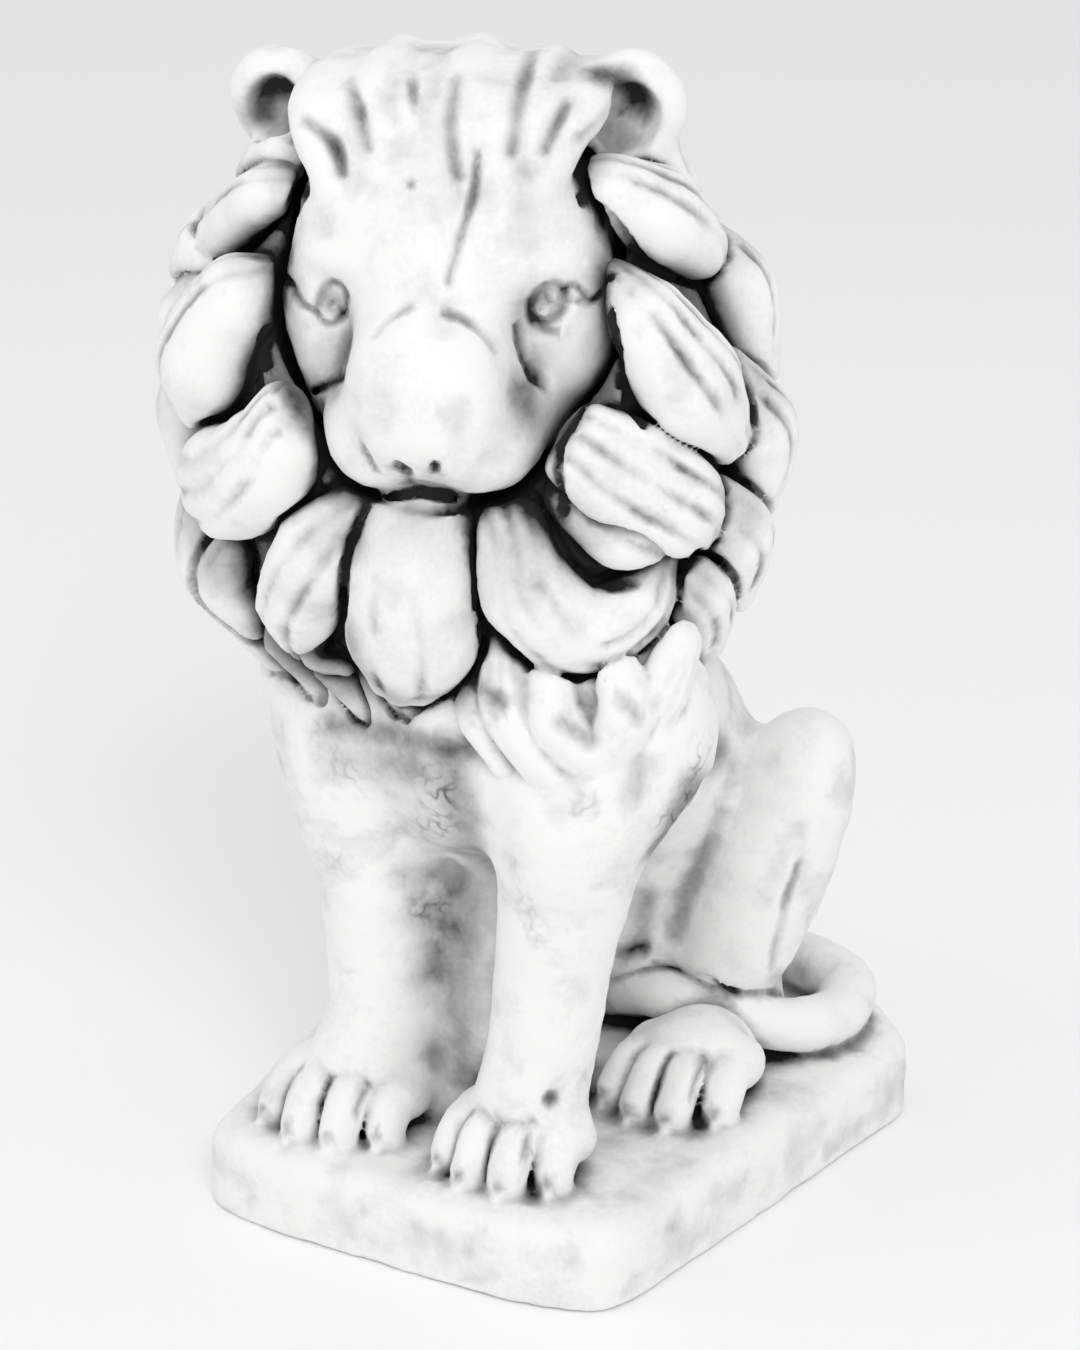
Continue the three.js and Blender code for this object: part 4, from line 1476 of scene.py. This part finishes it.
    def shade_smudges(self) -> list[Smudge]:
        """The painted shade that lies in broad patches: under the mane's hem, between the front legs,
        under the belly, round the haunch and in the ears' hollows, where it is partly antiquing.
        """
        return [
            Smudge([(258, 112), (262, 92), (285, 84)], 12.0, 0.75),
            Smudge([(598, 74), (620, 82), (640, 100)], 11.0, 0.85),
            Smudge([(262, 700), (330, 722), (400, 735), (462, 748)], 9.0, 0.5),
            Smudge([(450, 760), (468, 830), (468, 900), (462, 990), (462, 1070)], 17.0, 0.5),
            Smudge([(412, 760), (425, 830), (430, 900), (426, 970)], 16.0, 0.25),
            Smudge([(424, 1088)], 12.0, 0.3),
            Smudge([(624, 954), (642, 948)], 8.0, 0.8),
            Smudge([(775, 976), (800, 972)], 9.0, 0.35),
            Smudge([(474, 676), (500, 702)], 7.0, 0.7),
            Smudge([(562, 722), (590, 742)], 6.0, 0.45),
            Smudge([(622, 700), (640, 716)], 6.0, 0.4),
            Smudge([(330, 745), (380, 760)], 22.0, 0.25),
            Smudge([(720, 750), (688, 790), (668, 830)], 16.0, 0.6),
            Smudge([(652, 850), (648, 900), (640, 945)], 9.0, 0.5),
            Smudge([(640, 760), (632, 800)], 9.0, 0.35),
            Smudge([(350, 640), (395, 700), (450, 690)], 14.0, 0.4),
        ]

    def rough_places(self) -> list[Smudge]:
        """Where the stone is left rough, with fine squiggles of antiquing."""
        return [
            Smudge([(330, 760), (345, 850)], 30.0, 0.7),
            Smudge([(430, 770), (445, 850), (435, 930)], 24.0, 1.0),
            Smudge([(520, 880), (530, 950)], 20.0, 0.6),
            Smudge([(610, 760), (600, 810)], 16.0, 0.8),
            Smudge([(700, 765), (680, 810)], 26.0, 1.0),
            Smudge([(480, 720), (520, 700)], 16.0, 0.5),
        ]

    def roughness(self, clay: Clay, points: Array) -> Array:
        """How rough the stone is at some points: the sum over the rough places."""
        return sum(place.mark(clay, self.view).darkness(points) for place in self.rough_places())

    def model(self, clay: Clay) -> list[Mark]:
        """Works every stroke, and returns the antiquing and painted shade of strokes and smudges.

        Args:
            clay: what it is modelled in.

        Returns:
            The marks.
        """
        strokes = self.crown_strokes() + self.face_strokes() + self.pockets() + self.body_strokes()
        marks = [stroke.work(clay, self.view) for stroke in strokes]
        return marks + [smudge.mark(clay, self.view) for smudge in self.shade_smudges()]


# Drawing the surface


def surface_net(clay: Clay) -> tuple[Array, Array]:
    """Draws a closed net of quads where the field changes sign.

    Every grid cell that the surface crosses gets one point, at the mean of the places where the
    surface crosses the cell's edges. Every crossed edge gets one quad, through the points of the
    four cells round it, wound to face outwards.

    Args:
        clay: the finished clay.

    Returns:
        Points on the drawing, one row each, and quads of point numbers.
    """
    values = clay.field
    inside = values < 0
    cells = tuple(n - 1 for n in values.shape)
    edges = []
    for axis in range(3):
        low = tuple(slice(0, -1) if i == axis else slice(1, -1) for i in range(3))
        high = tuple(slice(1, None) if i == axis else slice(1, -1) for i in range(3))
        crossed = np.argwhere(inside[low] != inside[high]).astype(np.int64)
        crossed += [0 if i == axis else 1 for i in range(3)]
        here = values[tuple(crossed.T)]
        step = crossed.copy()
        step[:, axis] += 1
        there = values[tuple(step.T)]
        at = crossed.astype(float)
        at[:, axis] += here / (here - there)
        b, c = (axis + 1) % 3, (axis + 2) % 3
        around = []
        for db, dc in ((-1, -1), (0, -1), (0, 0), (-1, 0)):
            cell = crossed.copy()
            cell[:, b] += db
            cell[:, c] += dc
            around.append(np.ravel_multi_index(tuple(cell.T), cells))
        quads = np.stack(around, axis=1)
        quads[here >= 0] = quads[here >= 0][:, ::-1]
        edges.append((at, quads))
    every_quad = np.vstack([quads for _, quads in edges])
    numbers, corners = np.unique(every_quad, return_inverse=True)
    corners = corners.reshape(every_quad.shape)
    places = np.repeat(np.vstack([at for at, _ in edges]), 4, axis=0)
    flat = corners.ravel()
    share = np.bincount(flat, minlength=len(numbers))
    points = np.stack(
        [np.bincount(flat, places[:, i], len(numbers)) / share for i in range(3)], axis=1
    )
    return clay.low + points * clay.cell, corners


def corner_mean(grid: Array, base: Array, part: Array) -> Array:
    """The weighted mean of the eight values round each of some places in a grid.

    Args:
        grid: the values, which repeat past the grid's end.
        base: the numbers of the lowest of the eight, one row for each place.
        part: how far past it each place is, from 0 to 1 on each axis.

    Returns:
        One value for each place.
    """
    total = np.zeros(len(base))
    for corner in np.ndindex(2, 2, 2):
        weight = np.prod(np.where(corner, part, 1 - part), axis=1)
        total += weight * grid[tuple(((base + corner) % grid.shape).T)]
    return total


def sampled(grid: Array, low: Array, cell: float, points: Array) -> Array:
    """Reads a grid between its points, by straight-line steps along the three axes.

    Args:
        grid: the values.
        low: the place of its first value.
        cell: its spacing.
        points: where to read it.

    Returns:
        One value for each point.
    """
    at = np.clip((points - low) / cell, 0, np.array(grid.shape) - 1.001)
    base = at.astype(int)
    return corner_mean(grid, base, at - base)


def smoothed(grid: Array, passes: int) -> Array:
    """Blurs a grid: each pass takes a quarter, a half and a quarter of neighbours on each axis.

    Args:
        grid: the values.
        passes: how many times it is blurred.

    Returns:
        The blurred grid.
    """
    for _ in range(passes):
        for axis in range(3):
            g = np.moveaxis(grid, axis, 0)
            g = np.concatenate([g[:1], (g[:-2] + 2 * g[1:-1] + g[2:]) * np.float32(0.25), g[-1:]])
            grid = np.moveaxis(g, 0, axis)
    return grid


def lattice_noise(points: Array, size: float, seed: int) -> Array:
    """Soft lumps: random values on a lattice, joined by an S-shaped step along each axis.

    Args:
        points: where to read it.
        size: the spacing of the lattice.
        seed: the number that the random values start from.

    Returns:
        Values from -1 to 1.
    """
    table = np.random.default_rng(seed).uniform(-1, 1, (64, 64, 64))
    at = points / size + 1000.0
    base = np.floor(at).astype(int)
    part = at - base
    return corner_mean(table, base, part * part * (3 - 2 * part))


def relaxed(points: Array, faces: Array, passes: int) -> Array:
    """Evens a net out: each pass moves a point half of the way to the mean of its neighbours, and then
    a little more than half of the way back, which keeps the form.

    Args:
        points: the net's points.
        faces: its quads.
        passes: how many times this is done.

    Returns:
        The moved points.
    """
    ends = np.vstack([faces[:, [i, (i + 1) % 4]] for i in range(4)])
    share = np.bincount(ends[:, 0], minlength=len(points))
    for _ in range(passes):
        for step in (0.5, -0.53):
            mean = [np.bincount(ends[:, 0], points[ends[:, 1], i], len(points)) / share for i in range(3)]
            points = points + step * (np.stack(mean, axis=1) - points)
    return points


def normals_of(points: Array, faces: Array) -> Array:
    """The outward direction at each point: the sum of the crossed diagonals of its quads.

    Args:
        points: the net's points.
        faces: its quads.

    Returns:
        Directions of length one, one row each.
    """
    first = points[faces[:, 2]] - points[faces[:, 0]]
    crossed = np.cross(first, points[faces[:, 3]] - points[faces[:, 1]])
    total = np.zeros_like(points)
    for corner in range(4):
        for i in range(3):
            total[:, i] += np.bincount(faces[:, corner], crossed[:, i], len(points))
    return total / np.maximum(np.linalg.norm(total, axis=1, keepdims=True), 1e-12)


# Finishes


@dataclass(frozen=True)
class CastStone:
    """Off-white cast stone with dark grey antiquing and painted shade in its recesses.

    Attributes:
        pale: the colour of the worn, high surfaces.
        light: the colour of the thin mottling on them, and of the faintest painted shade.
        shade: the colour of the painted shade and antiquing in shallow dips.
        dark: the colour of the painted shadow and antiquing in deep recesses and gaps.
        roughness: how matt it is.
    """

    pale: Point = (0.86, 0.86, 0.855)
    light: Point = (0.67, 0.67, 0.67)
    shade: Point = (0.38, 0.38, 0.38)
    dark: Point = (0.015, 0.015, 0.015)
    roughness: float = 0.82

    def material(self) -> bpy.types.Material:
        """Builds the material: the antiquing and painted shade follow the mesh's own attribute, broken up
        by noise.
        """
        made = bpy.data.materials.new("cast_stone")
        made.use_nodes = True
        tree = made.node_tree
        nodes, links = tree.nodes, tree.links
        nodes.clear()
        output = nodes.new("ShaderNodeOutputMaterial")
        shader = nodes.new("ShaderNodeBsdfPrincipled")
        shader.inputs["Roughness"].default_value = self.roughness
        shader.inputs["Specular IOR Level"].default_value = 0.3
        links.new(shader.outputs["BSDF"], output.inputs["Surface"])
        place = nodes.new("ShaderNodeTexCoord")

        def noise(scale: float, detail: float) -> bpy.types.NodeSocket:
            """A noise texture on the object's own coordinates.

            Args:
                scale: how fine it is.
                detail: how many finer layers it has.

            Returns:
                Its value.
            """
            node = nodes.new("ShaderNodeTexNoise")
            node.inputs["Scale"].default_value = scale
            node.inputs["Detail"].default_value = detail
            links.new(place.outputs["Object"], node.inputs["Vector"])
            return node.outputs["Fac"]

        def layer(name: str) -> bpy.types.NodeSocket:
            """The values of one of the mesh's own attributes.

            Args:
                name: the attribute's name.

            Returns:
                Its value.
            """
            node = nodes.new("ShaderNodeAttribute")
            node.attribute_name = name
            return node.outputs["Fac"]

        def sums(kind: str, a: object, b: object) -> bpy.types.NodeSocket:
            """The result of one kind of sum on two sockets or numbers.

            Args:
                kind: the name of the sum.
                a: the first value.
                b: the second value.

            Returns:
                The result.
            """
            node = nodes.new("ShaderNodeMath")
            node.operation = kind
            for socket, value in zip(node.inputs, (a, b)):
                if isinstance(value, bpy.types.NodeSocket):
                    links.new(value, socket)
                else:
                    socket.default_value = value
            return node.outputs[0]

        def swing(source: bpy.types.NodeSocket, share: float) -> bpy.types.NodeSocket:
            """A noise's rise and fall about its middle, times a share."""
            return sums("MULTIPLY", sums("SUBTRACT", source, 0.5), share)

        grain = noise(420.0, 4.0)
        blotch = swing(noise(45.0, 6.0), 0.34)
        off_line = sums("ABSOLUTE", swing(noise(130.0, 1.0), 10.0), 0.0)
        squiggle = sums("MAXIMUM", sums("SUBTRACT", 1.0, off_line), 0.0)
        broken = sums("MAXIMUM", sums("MULTIPLY", blotch, 6.0), 0.0)
        scratched = sums("MULTIPLY", sums("MULTIPLY", squiggle, broken), layer("rough"))
        spotted = sums("ADD", blotch, swing(grain, 0.16))
        mottled = sums("ADD", spotted, sums("ADD", swing(noise(15.0, 5.0), 0.28), scratched))
        # How dark the colour is: the mesh's antiquing and painted shade, with the random mottling and
        # squiggles on top.
        amount = sums("ADD", layer("antiquing_and_shade"), mottled)
        ramp = nodes.new("ShaderNodeValToRGB")
        links.new(amount, ramp.inputs["Fac"])
        stops = [(0.0, self.pale), (0.22, self.light), (0.5, self.shade), (0.95, self.dark)]
        while len(ramp.color_ramp.elements) < len(stops):
            ramp.color_ramp.elements.new(0.5)
        for element, (position, colour) in zip(ramp.color_ramp.elements, stops):
            element.position = position
            element.color = (*colour, 1)
        links.new(ramp.outputs["Color"], shader.inputs["Base Color"])
        bump = nodes.new("ShaderNodeBump")
        bump.inputs["Strength"].default_value = 0.35
        bump.inputs["Distance"].default_value = 0.0006
        links.new(grain, bump.inputs["Height"])
        links.new(bump.outputs["Normal"], shader.inputs["Normal"])
        return made


@dataclass(frozen=True)
class PaleFloor:
    """A plain pale floor.

    Attributes:
        colour: its colour.
        half_size: half of its width, in metres.
    """

    colour: Point = (0.95, 0.95, 0.95)
    half_size: float = 6.0

    def build(self) -> bpy.types.Object:
        """Builds the floor, level with the underside of the plinth."""
        h = self.half_size
        mesh = bpy.data.meshes.new("floor")
        mesh.from_pydata([(-h, -h, 0), (h, -h, 0), (h, h, 0), (-h, h, 0)], [], [(0, 1, 2, 3)])
        floor = placed("floor", mesh)
        material = bpy.data.materials.new("floor_paper")
        material.use_nodes = True
        shader = material.node_tree.nodes["Principled BSDF"]
        shader.inputs["Base Color"].default_value = (*self.colour, 1)
        shader.inputs["Roughness"].default_value = 0.9
        mesh.materials.append(material)
        floor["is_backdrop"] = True
        return floor


# The statue


@dataclass(frozen=True)
class Dip:
    """How much the antiquing and painted shade darken dips of one width.

    Attributes:
        stride: how many cells of the clay make one step of the copy that is blurred.
        passes: how often the copy is blurred.
        start: the share of stone round a point at which the darkening begins.
        band: how much more stone makes it full.
        tone: how dark it then is.
    """

    stride: int
    passes: int
    start: float
    band: float
    tone: float

    def darkness(self, stone: Array, clay: Clay, points: Array) -> Array:
        """How dark the dips make some points.

        Args:
            stone: the share of stone in each cell of the clay.
            clay: the finished clay.
            points: the points, one row each.

        Returns:
            One value for each point.
        """
        blurred = smoothed(stone[:: self.stride, :: self.stride, :: self.stride], self.passes)
        share = sampled(blurred, clay.low, self.stride * clay.cell, points)
        return self.tone * np.clip((share - self.start) / self.band, 0, 1)


@dataclass(frozen=True)
class LionStatue:
    """The whole casting: the figure and its plinth in one surface.

    Attributes:
        cell: the spacing of the clay's grid.
        triangles: how many triangles the finished mesh may have.
        low: how far the grid reaches to the lion's right and to the front.
        high: the grid's highest corner.
        under: how far below the plinth the grid reaches.
        plinth: the plinth's sizes.
        head: the head's place and parts.
        mane: the mane's shape and locks.
        carving: the strokes and smudges that the photograph's camera places.
        face_trench: how wide and how deep the trench round the face is.
        bumps: the height, size and seed of each size of roughness.
        worn: how far the whole surface is worn away.
        dips: the dips of three widths that hold antiquing and painted shade.
        shade_under_locks: how dark the painted shade on the mane under its locks is.
        face_edge: how far off the face that shadow begins, and over what distance it grows.
    """

    cell: float = 1.5
    triangles: int = 190_000
    low: tuple[float, float] = (-146.0, -178.0)
    high: Point = (146.0, 154.0, 474.0)
    under: float = 6.0
    plinth: Plinth = Plinth()
    head: Head = Head()
    mane: Mane = Mane()
    carving: FineCarving = FineCarving()
    face_trench: tuple[float, float] = (4.0, 26.0)
    bumps: Sequence[tuple[float, float, int]] = ((0.8, 15.0, 1), (0.35, 6.5, 2), (0.16, 2.6, 3))
    worn: float = 0.5
    dips: Sequence[Dip] = (
        Dip(1, 5, 0.56, 0.22, 0.4),
        Dip(2, 6, 0.58, 0.26, 0.5),
        Dip(4, 7, 0.62, 0.25, 0.4),
    )
    shade_under_locks: float = 0.7
    face_edge: tuple[float, float] = (1.0, 2.0)

    def modelled(self) -> tuple[Clay, Clay, list[Mark]]:
        """Models the figure and the plinth.

        Returns:
            The finished clay, the clay of the face alone, and the antiquing and painted shade of locks and
            strokes.
        """
        low = (*self.low, -self.plinth.height - self.under)
        clay = Clay(low, self.high, self.cell)
        marks = Body().model(clay)
        self.mane.model(clay, self.head.axes)
        face = Clay(low, self.high, self.cell)
        self.head.model_face(face)
        everywhere = tuple(slice(0, n) for n in clay.count)
        clay.join(everywhere, face.field, 1.5, *self.face_trench)
        beard = [self.head.axes.place((-2, 66, -66)), self.mane.body.place(-1, -13, -4)]
        clay.add(Limb(beard, [16, 18]), 6.0)
        clay.add(self.head.axes.ball((-2, 78, -63), (17, 17, 9)), 3.0)
        self.head.model_crown(clay)
        self.head.model_ears(clay)
        self.plinth.model(clay)
        clay.field = smoothed(clay.field, 1)
        return clay, face, marks + self.mane.marks() + self.carving.model(clay)

    def roughened(self, points: Array, faces: Array) -> Array:
        """Moves the surface along its normals by soft lumps and small pits, as casting and weather do.

        Args:
            points: the surface's points on the drawing.
            faces: its faces.

        Returns:
            The moved points.
        """
        moved = sum(height * lattice_noise(points, size, seed) for height, size, seed in self.bumps)
        return points + normals_of(points, faces) * (moved - self.worn)[:, None]

    def antiquing_and_shade(self, clay: Clay, face: Clay, marks: Sequence[Mark], points: Array) -> Array:
        """How dark the antiquing and painted shade are: more where more stone stands round a point than on
        a plain.

        The share of stone round a point is read from blurred copies of the clay at three widths; on
        a flat surface it is a half, and it grows in a crease, a hollow or a deep gap, where shade is
        painted on together with antiquing. The mane is painted with shade under its locks, except where
        the face stands, and the marks come on top.

        Args:
            clay: the finished clay.
            face: the clay of the face alone.
            marks: the antiquing and painted shade of locks and strokes.
            points: where to read it.

        Returns:
            Values from 0, clean, to 1, black.
        """
        stone = np.clip(0.5 - clay.field / (2 * clay.cell), 0, 1)
        # Painted shade, together with antiquing, in creases, hollows and gaps, from the share of stone
        # round each point.
        total = sum(dip.darkness(stone, clay, points) for dip in self.dips)
        start, band = self.face_edge
        off_face = np.clip((face.read(points) - start) / band, 0, 1)
        # Painted shade on the mane under its locks, kept off the face.
        total = total + self.shade_under_locks * off_face * self.mane.shadow(points)
        for mark in marks:
            total = total + mark.darkness(points)
        return np.clip(total, 0, 1)

    def thinned(self, points: Array, faces: Array) -> bpy.types.Mesh:
        """Thins the surface by drawing short edges together, down to the number of triangles.

        Args:
            points: the surface's points in metres.
            faces: its quads.

        Returns:
            The thinned mesh.
        """
        dense = bpy.data.meshes.new("dense")
        dense.from_pydata(points.tolist(), [], faces.tolist())
        holder = placed("dense", dense)
        thin = holder.modifiers.new("thin", "DECIMATE")
        thin.ratio = min(1.0, self.triangles / (2 * len(faces)))
        thin.use_collapse_triangulate = True
        evaluated = holder.evaluated_get(bpy.context.evaluated_depsgraph_get())
        mesh = bpy.data.meshes.new_from_object(evaluated)
        bpy.data.objects.remove(holder)
        bpy.data.meshes.remove(dense)
        return mesh

    def build(self) -> bpy.types.Object:
        """Builds the statue, darkens it with antiquing and painted shade, dresses it, and puts it in the
        CAD node's place.
        """
        clay, face, marks = self.modelled()
        points, faces = surface_net(clay)
        log.info("net: %d points, %d quads", len(points), len(faces))
        points = self.roughened(relaxed(points, faces, 3), faces)
        low, high = (np.array(corner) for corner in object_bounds())
        lift = np.array([0, 0, self.plinth.height])
        metres = np.clip((points + lift) * MM, low, high)
        mesh = self.thinned(metres, faces)
        mesh.name = "lion_statue_stone"
        count = len(mesh.vertices)
        places = np.empty(count * 3, np.float32)
        mesh.vertices.foreach_get("co", places)
        places = np.clip(places.reshape(-1, 3), low, high)
        mesh.vertices.foreach_set("co", places.astype(np.float32).ravel())
        drawn = places / MM - lift
        # The darkening by antiquing and painted shade, and where the stone is rough, kept on the mesh's
        # points.
        layers = {
            "antiquing_and_shade": self.antiquing_and_shade(clay, face, marks, drawn),
            "rough": np.clip(self.carving.roughness(clay, drawn), 0, 1),
        }
        for name, values in layers.items():
            attribute = mesh.attributes.new(name, "FLOAT", "POINT")
            attribute.data.foreach_set("value", values.astype(np.float32))
        mesh.polygons.foreach_set("use_smooth", np.ones(len(mesh.polygons), bool))
        mesh.materials.clear()
        mesh.materials.append(CastStone().material())
        statue = placed("lion_statue_stone", mesh)
        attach(statue, "root")
        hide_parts("lion_statue")
        log.info("statue: %d triangles", len(mesh.polygons))
        return statue


# Camera and light


def build_camera(view: PhotoView, base: float) -> bpy.types.Object:
    """Builds the photograph's camera and makes it the scene's own.

    Args:
        view: its place and directions, on the drawing.
        base: how far the drawing's ground is above the scene's.

    Returns:
        The camera.
    """
    film = 36.0
    data = bpy.data.cameras.new("camera")
    data.sensor_width = film
    data.lens = view.focal * film / max(view.frame)
    data.clip_start, data.clip_end = 0.05, 50.0
    camera = placed("camera", data)
    camera.location = Vector((view.place() + [0, 0, base]) * MM)
    camera.rotation_euler = turned_to(-view.back())
    bpy.context.scene.camera = camera
    return camera


@dataclass(frozen=True)
class SoftBox:
    """A square studio light that faces the statue.

    Attributes:
        name: its name.
        place: where it stands, in metres.
        size: its width, in metres.
        power: its power, in watts.
        aim: the place that it faces, in metres.
    """

    name: str
    place: Point
    size: float
    power: float
    aim: Point = (0, 0, 0.25)

    def build(self) -> bpy.types.Object:
        """Builds the light."""
        data = bpy.data.lights.new(self.name, "AREA")
        data.size = self.size
        data.energy = self.power
        lamp = placed(self.name, data)
        lamp.location = self.place
        lamp.rotation_euler = turned_to(Vector(self.aim) - Vector(self.place))
        return lamp


def light_studio() -> None:
    """Lights the statue from the front, with a pale room all round it."""
    room_brightness = 0.78
    SoftBox("key", (1.6, -2.0, 2.3), 1.2, 32.0).build()
    SoftBox("fill", (-2.0, -1.8, 1.2), 1.8, 6.0).build()
    world = bpy.data.worlds.new("room")
    world.use_nodes = True
    world.node_tree.nodes["Background"].inputs["Color"].default_value = (1, 1, 1, 1)
    world.node_tree.nodes["Background"].inputs["Strength"].default_value = room_brightness
    bpy.context.scene.world = world
    bpy.context.scene.view_settings.view_transform = "Standard"


def main() -> None:
    logging.basicConfig(level=logging.INFO, format="%(message)s")
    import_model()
    statue = LionStatue()
    build_camera(statue.carving.view, statue.plinth.height)
    light_studio()
    PaleFloor().build()
    statue.build()


if __name__ == "__main__":
    main()
